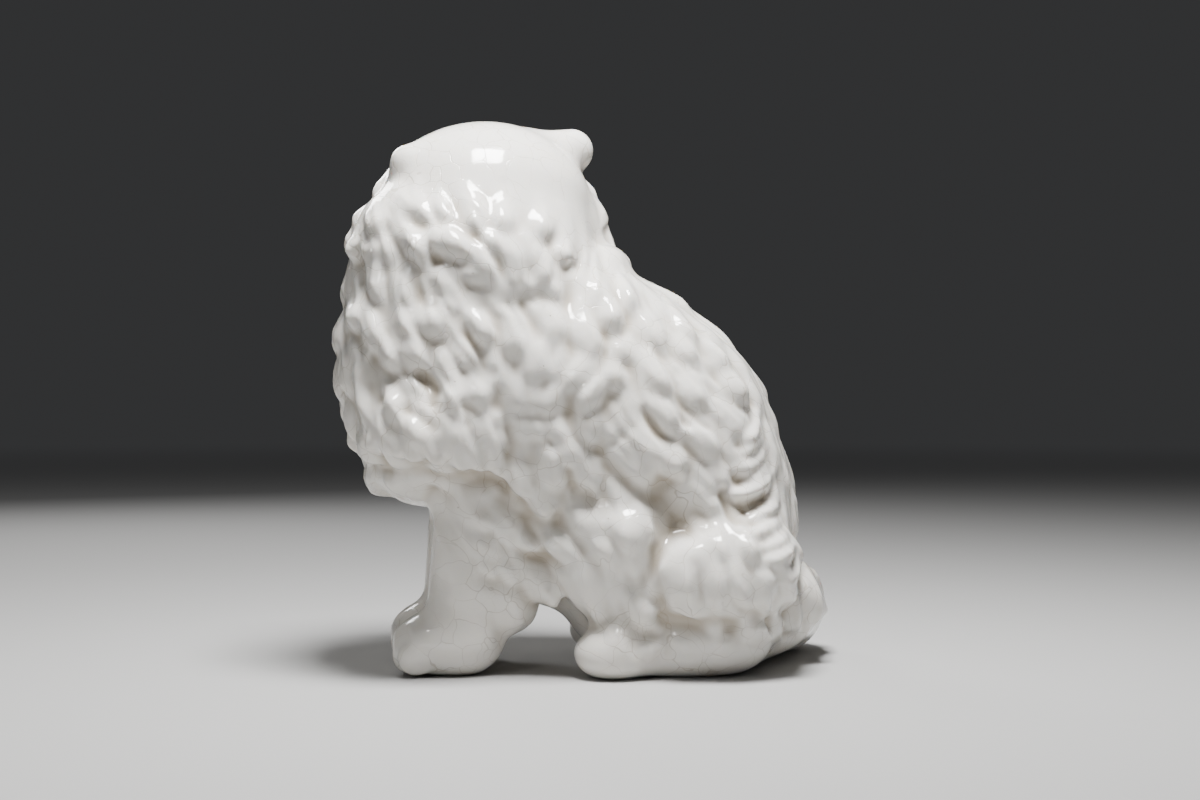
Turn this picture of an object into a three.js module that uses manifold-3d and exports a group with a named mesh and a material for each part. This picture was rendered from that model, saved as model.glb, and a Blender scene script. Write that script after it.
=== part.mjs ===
// A seated long-haired cat figurine in white glazed earthenware, its head turned over its right shoulder.
// Millimetres, +Z up; the chest faces -Y and the cat's left flank faces +X. One hollow-cast piece.
import * as THREE from "three";
import { SimplifyModifier } from "three/addons/modifiers/SimplifyModifier.js";
import { mergeVertices } from "three/addons/utils/BufferGeometryUtils.js";
import Module from "manifold-3d";

// Driving dimensions.
const centring = [7.37, -2]; // moves the body's middle plane so that the box is centred on the origin
const gridStep = 1.6; // pitch of the clay the form is modelled in
const facets = 9600; // triangles left on the finished skin
const footDepth = 8; // clay below the table plane, trimmed off flat
const vent = { at: [0, 32], radius: 3.5, depth: 7 }; // casting vent in the underside
const headAt = [-3, -27, 126.2];
const headTurn = { yaw: 65, pitch: 6, roll: 4.5 }; // degrees: to its right, up, left ear down

// Masses under the fur: [middle, half sizes, blend]. Paired ones are repeated at -X.
const trunk = [
  [[0, 24, 36], [32, 35.5, 40], 1], // rump
  [[0, 14, 60], [34.5, 38.3, 39.3], 10], // loin
  [[0, -7, 78], [34, 38, 36], 10], // shoulders
  [[0, -33, 85], [34, 34.8, 38], 8], // ruff
  [[0, -43, 56], [22, 17, 12], 7], // hem of the ruff
  [[0, -30, 110], [32, 33, 25], 8], // neck
  [[0, -9, 31], [17, 15, 14.5], 6], // belly
  [[0, 34, 11], [26, 24, 14], 6], // seat
  [[0, 5.5, 110], [12, 7, 6], 4], // tuft on the nape
];
const paired = [
  [[15, -38, 66.5], [21, 23.5, 15], 5], // side of the ruff
  [[12, -38, 8.4], [10.2, 14.8, 9.2], 4], // front paw
  [[13, -19, 42], [12, 17, 20], 6], // elbow
  [[12.5, -22.5, 22], [10, 10, 12], 4], // back of the foreleg
  [[20, -12, 58], [11.5, 15, 12], 7], // skirt of the flank
  [[23.5, 31, 28], [17.5, 23, 16.5], 5], // haunch
  [[26.5, 9, 38], [11.5, 8.5, 12], 4], // knee
  [[21, 0, 32], [11, 12.5, 15], 6], // thigh
  [[21, 31, 9.5], [14, 18, 10.5], 4], // fur along the hock
  [[22, 11, 17], [9.5, 11, 12], 6], // shin
  [[24, 20, 6.4], [9.6, 15, 7.6], 4], // hind foot
  [[25, 5, 6.4], [9.8, 10.8, 7.2], 4, 5], // hind paw, 5 mm further back on the far side
];
const foreleg = { top: [13, -30, 48], foot: [12, -34.5, 10], thick: 11.5, thin: 9.6 };
const toes = [[-6, -46.7], [-2.1, -48], [2.1, -48], [6, -46.7]]; // across and along each front paw
// The tail leaves the rump, turns to the far side and lies forward on the ground: [middle, radius].
const tail = [
  [[2, 51.5, 17], 15], [[-16, 58.5, 14], 13.5], [[-34, 50, 12.5], 12.3],
  [[-45, 33, 11.5], 11.3], [[-46, 17, 9.5], 9], [[-43, 7, 7.5], 5.5],
];
// Head masses in the head's own axes: forward, left, up.
const skull = [
  [[0, 0, 0], [27, 30, 23.5], 5],
  [[-1, 24.5, -9], [17, 14.5, 14], 5], // left cheek
  [[-1, -21.5, -8], [17, 14, 14], 5], // right cheek
  [[-12, 0, -10], [16, 22, 18], 5], // nape
  [[23, 0, -9], [8, 13, 9], 3], // muzzle
  [[26, 5.2, -9.5], [6, 6.2, 5.2], 1.5], [[26, -5.2, -9.5], [6, 6.2, 5.2], 1.5], // lip pads
  [[24.5, 0, -16], [6, 6.5, 4.5], 1.5], // chin
  [[29.5, 0, -3], [3.6, 4.4, 3], 1.2], // nose
  [[21, 11, 10.5], [6, 8, 4], 3], [[21, -11, 10.5], [6, 8, 4], 3], // brows
];
const eye = { at: [22.6, 11.8, 3], radius: 5.6, socket: 7.5, sunk: 0.4 };
// Ears in the head's axes: inner end, tip, and their radii. The first is the right one.
const ears = [
  { base: [-1, -15, 13], tip: [-1.5, -27.3, 15.4], thick: 8, thin: 6.2 },
  { base: [-1, 12, 11], tip: [-1, 24, 12.5], thick: 8.5, thin: 4.6 },
];

// Rows of locks round the body. Each row is a ring through the fur: its middle (y, z), the ring's tilt,
// the angles it spans from the chest round each flank, how many locks, and their length, width, rise and
// curl; sweep turns the locks of a flank towards the rear.
const rows = [
  { mid: [26, 17], tilt: 10, from: 70, to: 165, count: 9, length: 12, width: 8, rise: 1.8, curl: 0.3 },
  { mid: [24, 27], tilt: 18, from: 60, to: 160, count: 10, length: 16, width: 8, rise: 2.4, curl: 0.5 },
  { mid: [20, 38], tilt: 25, from: 66, to: 158, count: 10, length: 17, width: 8.5, rise: 2.4, curl: 0.5 },
  { mid: [14, 50], tilt: 30, from: 60, to: 158, count: 10, length: 17, width: 8, rise: 2.2, curl: 0.5 },
  { mid: [7, 61], tilt: 32, from: 60, to: 160, count: 10, length: 17, width: 8, rise: 2, curl: 0.5 },
  { mid: [0, 72], tilt: 34, from: 60, to: 170, count: 11, length: 17, width: 8, rise: 1.8, curl: 0.5 },
  { mid: [-6, 84], tilt: 36, from: 60, to: 175, count: 11, length: 17, width: 8, rise: 1.5, curl: 0.5 },
  { mid: [-34, 56], tilt: 0, from: 5, to: 100, count: 8,
    length: 13, width: 9, rise: 2.6, curl: 0.4, sweep: 0.4 },
  { mid: [-32, 68], tilt: 0, from: 8, to: 115, count: 8,
    length: 18, width: 9, rise: 2.8, curl: 0.5, sweep: 0.7 },
  { mid: [-28, 81], tilt: 5, from: 5, to: 125, count: 9,
    length: 20, width: 9, rise: 3, curl: 0.5, sweep: 0.8 },
  { mid: [-27, 93], tilt: 8, from: 8, to: 135, count: 10,
    length: 20, width: 9, rise: 2.8, curl: 0.5, sweep: 0.8 },
  { mid: [-26, 104], tilt: 8, from: 6, to: 150, count: 10,
    length: 18, width: 8, rise: 2.4, curl: 0.5, sweep: 0.8 },
  { mid: [-29, 113], tilt: 4, from: 2, to: 100, count: 7,
    length: 16, width: 8, rise: 2.2, curl: 0.45, sweep: 0.6 },
];
// Rows round the head, behind the face: distance forward, angles down from the crown, then as above.
const headRows = [
  { ahead: 12, from: 62, to: 128, count: 5, length: 13, width: 7.5, rise: 2, curl: 0.35 },
  { ahead: 1, from: 70, to: 128, count: 5, length: 15, width: 8, rise: 2.2, curl: 0.4 },
  { ahead: -9, from: 78, to: 125, count: 4, length: 15, width: 8, rise: 1.8, curl: 0.4 },
];
const relief = 1.3; // scales every lock's rise
// Shares of the rows' rise: under the flanks' own tufts, and where no tufts lie over them.
const undercoat = 0.5;
const open = 0.7;
const drop = 0.62; // where along a lock the fall to its tip begins
const bed = { depth: 0.3, reach: 1.8 }; // the skin pressed in round a lock's tip, as a share of its rise
const deepest = -2.6;
const softRounds = 2;

// How the fur of a flank lies: place (y, z) and degrees from straight down towards the rear.
const combing = [
  [-61, 118, 6], [-47, 118, 30], [-36, 121, 34], [-31, 110, 38], [-21, 99, 40], [-49, 105, -3],
  [-43, 96, 30], [-34, 96, 37], [-44, 82, 33], [-56, 79, 23], [-63, 73, 9], [-55, 64, 18],
  [-44, 63, 24], [-34, 63, 20], [-21, 84, 3], [-8, 87, 15], [-2, 80, -45], [-9, 75, -60],
  [-24, 70, 18], [-14, 63, 37], [-18, 55, 37], [-5, 67, 18], [1, 62, 58], [8, 64, 37], [14, 70, 30],
  [20, 57, 37], [23, 78, 37], [23, 67, 60], [29, 84, 41], [35, 70, 49], [38, 81, 18], [26, 49, 30],
  [20, 34, -18], [27, 29, 9], [36, 29, 37], [44, 43, 18], [11, 40, 12], [-6, 37, 45], [-23, 43, 45],
  [4, 51, 30], [35, 13, 70], [20, 13, 78], [-35, 30, 31], [-26, 28, 37], [5, 42, 8], [14, 36, 4],
  [-9, 112, -22], [-14, 122, -5], [48, 40, 30], [50, 20, 20],
];
// Tufts over each flank: a staggered grid, each tuft led along the combing. Degrees of sway are a tuft's
// own, degrees of ripple are shared in waves.
const tufts = {
  low: [-68, 12], high: [54, 132], across: 9.5, down: 10, length: 19, width: 8.5, rise: 1.8,
  loose: 0.28, sway: 10, ripple: 4,
};
// Where the clay is left smoother: place (y, z), radius, share of the relief taken off.
const bare = [
  [20, 36, 11, 0.8], [22, 8, 13, 0.9], [-33, 22, 15, 0.75], [-30, 8, 14, 0.9], [-12, 124, 17, 0.8],
  [19, 45, 7, 1], [9, 39, 10, 1], [-48, 50, 12, 0.7], [-34, 48, 10, 0.6], [-2, 22, 9, 0.5], [2, 8, 12, 1],
  [50, 63, 12, 0.85], [53, 46, 12, 0.85],
];
// Tufts that stand out, in rows: root and tip of the first and the last (y, z). Dip lowers the middle tips.
const tuftRows = [
  { first: [-41, 125, -31, 108], last: [-5, 114, -10, 107], count: 5, width: 9, rise: 2, dip: 11 }, // cape
  { first: [-64, 68, -61, 57], last: [-31, 66, -22, 52], count: 8, width: 6, rise: 2.8 }, // ruff's hem
  { first: [14, 36, 12, 17], last: [40, 34, 46, 16], count: 7, width: 6, rise: 1.8 }, // haunch's hem
  { first: [4, 48, 7, 31], last: [11, 48, 14, 32], count: 2, width: 7, rise: 1.4 }, // knee
  { first: [-33, 129, -29, 114], last: [-15, 127, -17, 113], count: 3, width: 9, rise: 1.6 }, // nape
  { first: [-26, 74, -18, 60], last: [-14, 73, -6, 60], count: 3, width: 7, rise: 1.8 }, // front of the flank
  { first: [-36, 46, -30, 40], last: [-14, 38, -4, 30], count: 5, width: 4.5, rise: 1.6 }, // foreleg
  { first: [22, 17, 36, 13], last: [44, 17, 54, 12], count: 3, width: 5, rise: 1.6 }, // hock
  { first: [50, 32, 50, 12], last: [61, 27, 63, 8], count: 4, width: 4.6, rise: 1.8 }, // tail root
];
// Locks that leave the back line and curl forward round the rear of the flank. The drop goes from the
// first lock's to the last one's, the reach from the end ones' to the middle ones'.
const fringe = {
  count: 11, top: [44.5, 74], foot: [55, 34], drop: [12, 8], reach: [8, 12], width: 4.4, rise: 2.3,
};
// Hollows pressed in between them on the left flank: ends (y, z), radius, depth.
const hollows = [
  [-38, 122, -22, 103, 1.5, 1.6], [-50, 106, -35, 84, 1.3, 1.3], [-34, 90, -29, 79, 1.8, 1.7],
  [-46, 79, -36, 71, 1.8, 1.9], [-55, 73, -43, 66, 1.6, 1.6], [-15, 64, -7, 54, 1.2, 1.5],
  [-1, 59, 6, 64, 1.2, 1.4], [11, 70, 15, 64, 1.3, 1.5], [18, 68, 28, 65, 1.2, 1.6],
  [22, 61, 30, 52, 1.1, 1.1], [16, 48, 21, 42, 5.2, 4.4], [32, 49, 36, 41, 1.8, 2],
  [2, 56, 11, 48, 1.5, 1.2],
];
// Locks along the tail: how many rings, locks in a ring, the arc they cover over the top.
const tailFur = { rings: 8, locks: 6, arc: 230, length: 13, width: 7, rise: 1.5, curl: 0.5 };

const rad = Math.PI / 180;
const vec = (x, y, z) => new THREE.Vector3(x, y, z);
const clamp = (v, lo, hi) => Math.min(Math.max(v, lo), hi);
const ease = (lo, hi, v) => {
  const t = clamp((v - lo) / (hi - lo), 0, 1);
  return t * t * (3 - 2 * t);
};
const scatter = (n) => {
  const v = Math.sin(n * 12.9898) * 43758.5453;
  return v - Math.floor(v);
};

// Clay: a grid of signed distances, negative inside, that forms are blended into and scooped out of.
class Clay {
  constructor(lo, hi, step) {
    this.lo = lo;
    this.step = step;
    this.n = lo.map((v, a) => Math.ceil((hi[a] - v) / step) + 1);
    this.f = new Float32Array(this.n[0] * this.n[1] * this.n[2]).fill(50);
  }

  at(i, j, k) {
    return (i * this.n[1] + j) * this.n[2] + k;
  }

  // Blends a distance function into the cells of a box, over a soft seam of the given width.
  blend(lo, hi, distance, seam, scoop) {
    const margin = seam + 2 * this.step + 2;
    const a = lo.map((v, c) => Math.max(Math.floor((v - margin - this.lo[c]) / this.step), 0));
    const b = hi.map((v, c) => Math.min(Math.ceil((v + margin - this.lo[c]) / this.step), this.n[c] - 1));
    const { lo: [lo0, lo1, lo2], step } = this;
    for (let i = a[0]; i <= b[0]; i++)
      for (let j = a[1]; j <= b[1]; j++)
        for (let k = a[2]; k <= b[2]; k++) {
          const cell = this.at(i, j, k);
          const d = distance(lo0 + i * step, lo1 + j * step, lo2 + k * step) * (scoop ? -1 : 1);
          const old = this.f[cell];
          const h = Math.max(seam - Math.abs(old - d), 0) / seam;
          const fillet = (h * h * seam) / 4;
          this.f[cell] = scoop ? Math.max(old, d) + fillet : Math.min(old, d) - fillet;
        }
  }

  // An ellipsoid, along the grid or along three given axes.
  ball(at, half, seam, axes = [vec(1, 0, 0), vec(0, 1, 0), vec(0, 0, 1)], scoop = false) {
    const reach = [0, 1, 2].map((c) => Math.hypot(...axes.map((u, a) => u.getComponent(c) * half[a])));
    this.blend(at.map((v, c) => v - reach[c]), at.map((v, c) => v + reach[c]), (x, y, z) => {
      let [near, slope] = [0, 0];
      for (let a = 0; a < 3; a++) {
        const q = (axes[a].x * (x - at[0]) + axes[a].y * (y - at[1]) + axes[a].z * (z - at[2])) / half[a];
        near += q * q;
        slope += (q * q) / (half[a] * half[a]);
      }
      [near, slope] = [Math.sqrt(near), Math.sqrt(slope)];
      return (near * (near - 1)) / Math.max(slope, 1e-6);
    }, seam, scoop);
  }

  // A round bar that tapers from one radius to another.
  limb(a, b, ra, rb, seam, scoop = false) {
    const e = b.map((v, c) => v - a[c]);
    const run = Math.max(e[0] ** 2 + e[1] ** 2 + e[2] ** 2, 1e-9);
    const r = Math.max(ra, rb);
    const [lo, hi] = [a.map((v, c) => Math.min(v, b[c]) - r), a.map((v, c) => Math.max(v, b[c]) + r)];
    this.blend(lo, hi, (x, y, z) => {
      const [u, v, w] = [x - a[0], y - a[1], z - a[2]];
      const t = clamp((u * e[0] + v * e[1] + w * e[2]) / run, 0, 1);
      return Math.hypot(u - e[0] * t, v - e[1] * t, w - e[2] * t) - (ra + (rb - ra) * t);
    }, seam, scoop);
  }

  // Visits the cells of a box.
  visit(lo, hi, each) {
    const a = lo.map((v, c) => Math.max(Math.floor((v - this.lo[c]) / this.step), 0));
    const b = hi.map((v, c) => Math.min(Math.ceil((v - this.lo[c]) / this.step), this.n[c] - 1));
    const { lo: [lo0, lo1, lo2], step } = this;
    for (let i = a[0]; i <= b[0]; i++)
      for (let j = a[1]; j <= b[1]; j++)
        for (let k = a[2]; k <= b[2]; k++)
          each(this.at(i, j, k), lo0 + i * step, lo1 + j * step, lo2 + k * step);
  }

  sample(p) {
    const u = [p.x, p.y, p.z].map((v, c) => (v - this.lo[c]) / this.step);
    const i = u.map((v, c) => clamp(Math.floor(v), 0, this.n[c] - 2));
    const w = u.map((v, c) => clamp(v - i[c], 0, 1));
    let sum = 0;
    for (let m = 0; m < 8; m++) {
      const d = [m & 1, (m >> 1) & 1, (m >> 2) & 1];
      const share = d.reduce((s, on, c) => s * (on ? w[c] : 1 - w[c]), 1);
      if (share) sum += share * this.f[this.at(i[0] + d[0], i[1] + d[1], i[2] + d[2])];
    }
    return sum;
  }

  normal(p) {
    const slope = [vec(this.step, 0, 0), vec(0, this.step, 0), vec(0, 0, this.step)]
      .map((e) => this.sample(p.clone().add(e)) - this.sample(p.clone().sub(e)));
    return vec(...slope).normalize();
  }

  // Moves a point onto the skin.
  settle(p, times = 2) {
    const q = p.clone();
    for (let t = 0; t < times; t++) q.addScaledVector(this.normal(q), -this.sample(q));
    return q;
  }

  // The skin as a closed mesh: one vertex in each cell it crosses, one quad across each crossed edge.
  skin() {
    const { n, f, lo, step } = this;
    const index = new Map();
    const points = [];
    const faces = [];
    const corners = [0, 1, 2, 3, 4, 5, 6, 7].map((m) => [m & 1, (m >> 1) & 1, (m >> 2) & 1]);
    const edges = [];
    for (let a = 0; a < 8; a++) for (const bit of [1, 2, 4]) if (!(a & bit)) edges.push([a, a | bit]);
    for (let i = 0; i < n[0] - 1; i++)
      for (let j = 0; j < n[1] - 1; j++)
        for (let k = 0; k < n[2] - 1; k++) {
          const v = corners.map((c) => f[this.at(i + c[0], j + c[1], k + c[2])]);
          const crossed = edges.filter(([a, b]) => v[a] < 0 !== v[b] < 0);
          if (!crossed.length) continue;
          const p = [0, 0, 0];
          for (const [a, b] of crossed) {
            const t = v[a] / (v[a] - v[b]);
            for (let c = 0; c < 3; c++)
              p[c] += (corners[a][c] + (corners[b][c] - corners[a][c]) * t) / crossed.length;
          }
          index.set(this.at(i, j, k), points.length);
          points.push(this.settle(vec(...[i, j, k].map((v, c) => lo[c] + (v + p[c]) * step))));
        }
    for (let i = 1; i < n[0] - 1; i++)
      for (let j = 1; j < n[1] - 1; j++)
        for (let k = 1; k < n[2] - 1; k++)
          for (let axis = 0; axis < 3; axis++) {
            const on = [0, 1, 2].map((c) => (c === axis ? 1 : 0));
            const inside = f[this.at(i, j, k)] < 0;
            if (inside === f[this.at(i + on[0], j + on[1], k + on[2])] < 0) continue;
            const [u, w] = [(axis + 1) % 3, (axis + 2) % 3];
            const quad = [[1, 1], [0, 1], [0, 0], [1, 0]].map(([du, dw]) => {
              const c = [i, j, k];
              c[u] -= du;
              c[w] -= dw;
              return index.get(this.at(...c));
            });
            const [a, b, c, d] = inside ? quad : quad.reverse();
            const short = points[a].distanceTo(points[c]) < points[b].distanceTo(points[d]);
            faces.push(...(short ? [a, b, c, a, c, d] : [a, b, d, b, c, d]));
          }
    return new THREE.BufferGeometry()
      .setAttribute("position", new THREE.Float32BufferAttribute(points.flatMap((p) => p.toArray()), 3))
      .setIndex(faces);
  }
}

// The head's axes: forward, left, up.
const headAxes = (() => {
  const { yaw, pitch, roll } = headTurn;
  const level = vec(-Math.sin(yaw * rad), -Math.cos(yaw * rad), 0);
  const left = vec(Math.cos(yaw * rad), -Math.sin(yaw * rad), 0);
  const forward = level.multiplyScalar(Math.cos(pitch * rad)).add(vec(0, 0, Math.sin(pitch * rad)));
  const up = forward.clone().cross(left);
  return [forward, left.clone().applyAxisAngle(forward, -roll * rad), up.applyAxisAngle(forward, -roll * rad)];
})();
const onHead = (q) => headAxes.reduce((p, u, a) => p.addScaledVector(u, q[a]), vec(...headAt)).toArray();

function layMasses(clay) {
  for (const [at, half, seam] of trunk) clay.ball(at, half, seam);
  for (const side of [-1, 1]) {
    const over = ([x, y, z]) => [x * side, y, z];
    clay.limb(over(foreleg.top), over(foreleg.foot), foreleg.thick, foreleg.thin, 6);
    for (const [[x, y, z], half, seam, back = 0] of paired)
      clay.ball([x * side, y + (side < 0 ? back : 0), z], half, seam);
  }
  tail.slice(1).forEach(([at, r], i) => clay.limb(tail[i][0], at, tail[i][1], r, 3));
  for (const [at, half, seam] of skull) clay.ball(onHead(at), half, seam, headAxes);
  return clay;
}

// The fur: its height over the bare form, kept on the same grid as the clay.
class Coat {
  constructor(clay) {
    this.clay = clay;
    this.height = new Float32Array(clay.f.length);
  }

  // One lock along a path of { at, up, way }: it rises from its root, swells, and drops at a pointed tip.
  comb(path, length, width, rise) {
    const reach = width / 2 + 4;
    const pieces = path.slice(1).map((q, i) => {
      const e = q.at.clone().sub(path[i].at);
      const side = path[i].up.clone().add(q.up).cross(path[i].way.clone().add(q.way)).normalize();
      return { a: path[i].at, up: path[i].up, e, side, run: e.lengthSq() };
    });
    const box = new THREE.Box3().setFromPoints(path.map((q) => q.at)).expandByScalar(reach);
    this.clay.visit(box.min.toArray(), box.max.toArray(), (cell, x, y, z) => {
      let [best, along, aside, off] = [Infinity, 0, 0, 0];
      for (let i = 0; i < pieces.length; i++) {
        const { a, up, e, side, run } = pieces[i];
        const [u, v, w] = [x - a.x, y - a.y, z - a.z];
        const ends = [i ? 0 : -0.6, i < pieces.length - 1 ? 1 : 1.8];
        const t = clamp((u * e.x + v * e.y + w * e.z) / run, ...ends);
        const gap = (u - e.x * t) ** 2 + (v - e.y * t) ** 2 + (w - e.z * t) ** 2;
        if (gap >= best) continue;
        best = gap;
        along = (i + t) / pieces.length;
        aside = u * side.x + v * side.y + w * side.z - e.dot(side) * t;
        off = u * up.x + v * up.y + w * up.z - e.dot(up) * t;
      }
      if (Math.abs(off) > 7) return;
      const bare = (width / 2) * (0.5 + 0.5 * Math.sin(Math.PI * clamp(0.08 + 0.82 * along, 0, 1)));
      const half = bare * Math.sqrt(1 - 0.94 * ease(0.5, 1, along) ** 1.5);
      const outside = Math.max(Math.abs(aside) - half, (along - 0.97) * length, 0);
      const pressed = bed.depth * rise * ease(0.3, 0.85, along) * Math.exp(-((outside / bed.reach) ** 2));
      const old = Math.max(this.height[cell] - pressed, deepest);
      if (Math.abs(aside) >= half || along <= -0.05 || along >= 1) {
        this.height[cell] = old;
        return;
      }
      const crown = (1 - (aside / half) ** 2) ** 1.2;
      const body = rise * (ease(-0.05, 0.65, along) * (1 - ease(drop, 1.02, along)) - 0.08);
      this.height[cell] = Math.max(old, body * crown - 0.2 * rise * (1 - crown));
    });
  }

  // A soft-edged hollow.
  press(a, b, radius, depth) {
    const e = b.clone().sub(a);
    const box = new THREE.Box3().setFromPoints([a, b]).expandByScalar(3 * radius);
    this.clay.visit(box.min.toArray(), box.max.toArray(), (cell, x, y, z) => {
      const [u, v, w] = [x - a.x, y - a.y, z - a.z];
      const t = clamp((u * e.x + v * e.y + w * e.z) / Math.max(e.lengthSq(), 1e-9), 0, 1);
      const gap = (u - e.x * t) ** 2 + (v - e.y * t) ** 2 + (w - e.z * t) ** 2;
      this.height[cell] -= depth * Math.exp(-gap / (radius * (1 - 0.45 * t)) ** 2);
    });
  }

  // Rounds every edge, as the glaze does.
  soften() {
    const { n } = this.clay;
    const hops = [n[1] * n[2], n[2], 1];
    for (const hop of Array(softRounds).fill(hops).flat()) {
      const old = this.height.slice();
      for (let i = hop; i < old.length - hop; i++)
        this.height[i] = (old[i - hop] + 2 * old[i] + old[i + hop]) / 4;
    }
  }
}

// A lock that walks over the form from its root, curling as it goes.
function layLock(coat, form, root, heading, { length, width, rise, bow, wave }, steps = 6) {
  const path = [];
  let p = root.clone();
  let n = form.normal(p);
  let h = heading.clone().addScaledVector(n, -heading.dot(n)).normalize();
  for (let s = 0; s <= steps; s++) {
    const t = s / steps;
    const turn = bow * Math.cos(Math.PI * t) + wave * Math.sin(2 * Math.PI * t);
    const way = h.clone().applyAxisAngle(n, turn);
    path.push({ at: p.clone(), up: n, way });
    p = form.settle(p.addScaledVector(way, length / steps));
    n = form.normal(p);
    h = h.addScaledVector(n, -h.dot(n)).normalize();
  }
  coat.comb(path, length, width, rise * relief);
}

function layRow(coat, form, row, seed) {
  const tilt = row.tilt * rad;
  const front = vec(0, -Math.cos(tilt), -Math.sin(tilt));
  const flow = vec(0, Math.sin(tilt), -Math.cos(tilt));
  const pitch = ((row.to - row.from) / (row.count - 1)) * rad;
  for (const side of [1, -1])
    for (let m = 0; m < row.count; m++) {
      const i = m + seed * 17 + (side > 0 ? 0 : 50);
      const pick = (o, lo, hi) => lo + (hi - lo) * scatter(i + o);
      const angle = row.from * rad + pitch * (m + (scatter(i + 0.7) - 0.5) * 0.5);
      const out = front.clone().multiplyScalar(Math.cos(angle)).add(vec(side * Math.sin(angle), 0, 0));
      const root = reachSkin(form, vec(0, ...row.mid), out);
      if (root.z < 10) continue;
      const sweep = (row.sweep ?? 0) * clamp(angle - 0.3, 0, 1);
      const hand = scatter(i + 0.4) < 0.5 ? -1 : 1;
      const covered = Math.abs(root.x) > 12 && root.y > -56 && root.y < 50 && root.z < 115;
      const lie = (covered ? undercoat : open) * (1 - 0.6 * ease(2.2, 2.9, angle)); // flat near the back line
      layLock(coat, form, root, flow.clone().add(vec(0, sweep, 0)), {
        length: row.length * pick(0.1, 0.85, 1.15),
        width: row.width * pick(0.2, 0.88, 1.12),
        rise: row.rise * pick(0.3, 0.75, 1.25) * lie,
        bow: row.curl * hand * pick(0.5, 0.5, 1.2),
        wave: row.curl * hand * pick(0.6, 0.1, 0.9),
      });
    }
}

function layHeadRow(coat, form, row, seed) {
  const [forward, left, up] = headAxes;
  const pitch = (row.to - row.from) / (row.count - 1);
  for (const side of [1, -1])
    for (let m = 0; m < row.count; m++) {
      const i = m + seed * 17 + (side > 0 ? 0 : 50);
      const angle = (row.from + pitch * (m + (scatter(i + 0.7) - 0.5) * 0.5)) * rad;
      const out = up.clone().multiplyScalar(Math.cos(angle)).addScaledVector(left, side * Math.sin(angle));
      const middle = vec(...onHead([row.ahead, 0, -2]));
      const root = reachSkin(form, middle, out);
      if (root.distanceTo(middle) > 48) continue;
      const hand = scatter(i + 0.4) < 0.5 ? -1 : 1;
      const way = vec(0, 0, -0.9).addScaledVector(forward, -0.8).addScaledVector(left, side * 0.2);
      layLock(coat, form, root, way, {
        length: row.length,
        width: row.width,
        rise: row.rise * (side > 0 && row.ahead < 10 ? undercoat : open),
        bow: row.curl * hand * (0.5 + 0.7 * scatter(i + 0.5)),
        wave: row.curl * hand * scatter(i + 0.6),
      });
    }
}

// The skin of the under-form, met from inside along a direction.
function reachSkin(form, from, way) {
  let t = 0;
  for (let s = 0; s < 60; s++) {
    const depth = form.sample(from.clone().addScaledVector(way, t));
    if (depth < 0) t = Math.min(t + Math.max(-0.8 * depth, 0.05), 70);
  }
  return form.settle(from.clone().addScaledVector(way, t));
}

// The skin at a height and a depth, met from the left (side 1) or from the right (side -1).
function flankPoint(form, y, z, side) {
  let x = 52;
  for (let s = 0; s < 60 && x > 0; s++) {
    const away = form.sample(vec(x * side, y, z));
    if (away > 0.02) x -= Math.min(0.9 * away, 1.5);
  }
  return form.settle(vec(Math.max(x, 0) * side, y, z), 4);
}

// The combed way at a place on the flank.
function combedWay([y, z]) {
  let [sum, total] = [0, 0];
  for (const [y0, z0, turn] of combing) {
    const share = ((y - y0) ** 2 + (z - z0) ** 2 + 16) ** -1.5;
    sum += share * turn;
    total += share;
  }
  return (sum / total + tufts.ripple * Math.sin(z / 4.5 + y / 9)) * rad;
}

// A tuft along a run of places (y, z) on one flank; the stretch that doesn't lie on the flank is left out.
function layTuft(coat, form, places, side, width, rise) {
  const spots = places.map(([y, z]) => {
    const at = flankPoint(form, y, z, side);
    const good = Math.abs(at.y - y) + Math.abs(at.z - z) < 2.6 && at.x * side > 7 && at.z > 6;
    return { at, good, up: form.normal(at) };
  });
  const start = spots.findIndex((q) => q.good);
  if (start < 0) return;
  const end = spots.findIndex((q, i) => i > start && !q.good);
  const path = spots.slice(start, end < 0 ? spots.length : end);
  if (path.length < 4) return;
  path.forEach((q, i) => {
    q.way = path[Math.min(i + 1, path.length - 1)].at.clone().sub(path[Math.max(i - 1, 0)].at).normalize();
  });
  const length = path.slice(1).reduce((sum, q, i) => sum + q.at.distanceTo(path[i].at), 0);
  const middle = path[Math.floor(path.length / 2)].at;
  coat.comb(path, length, width, rise(middle) * relief);
}

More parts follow.
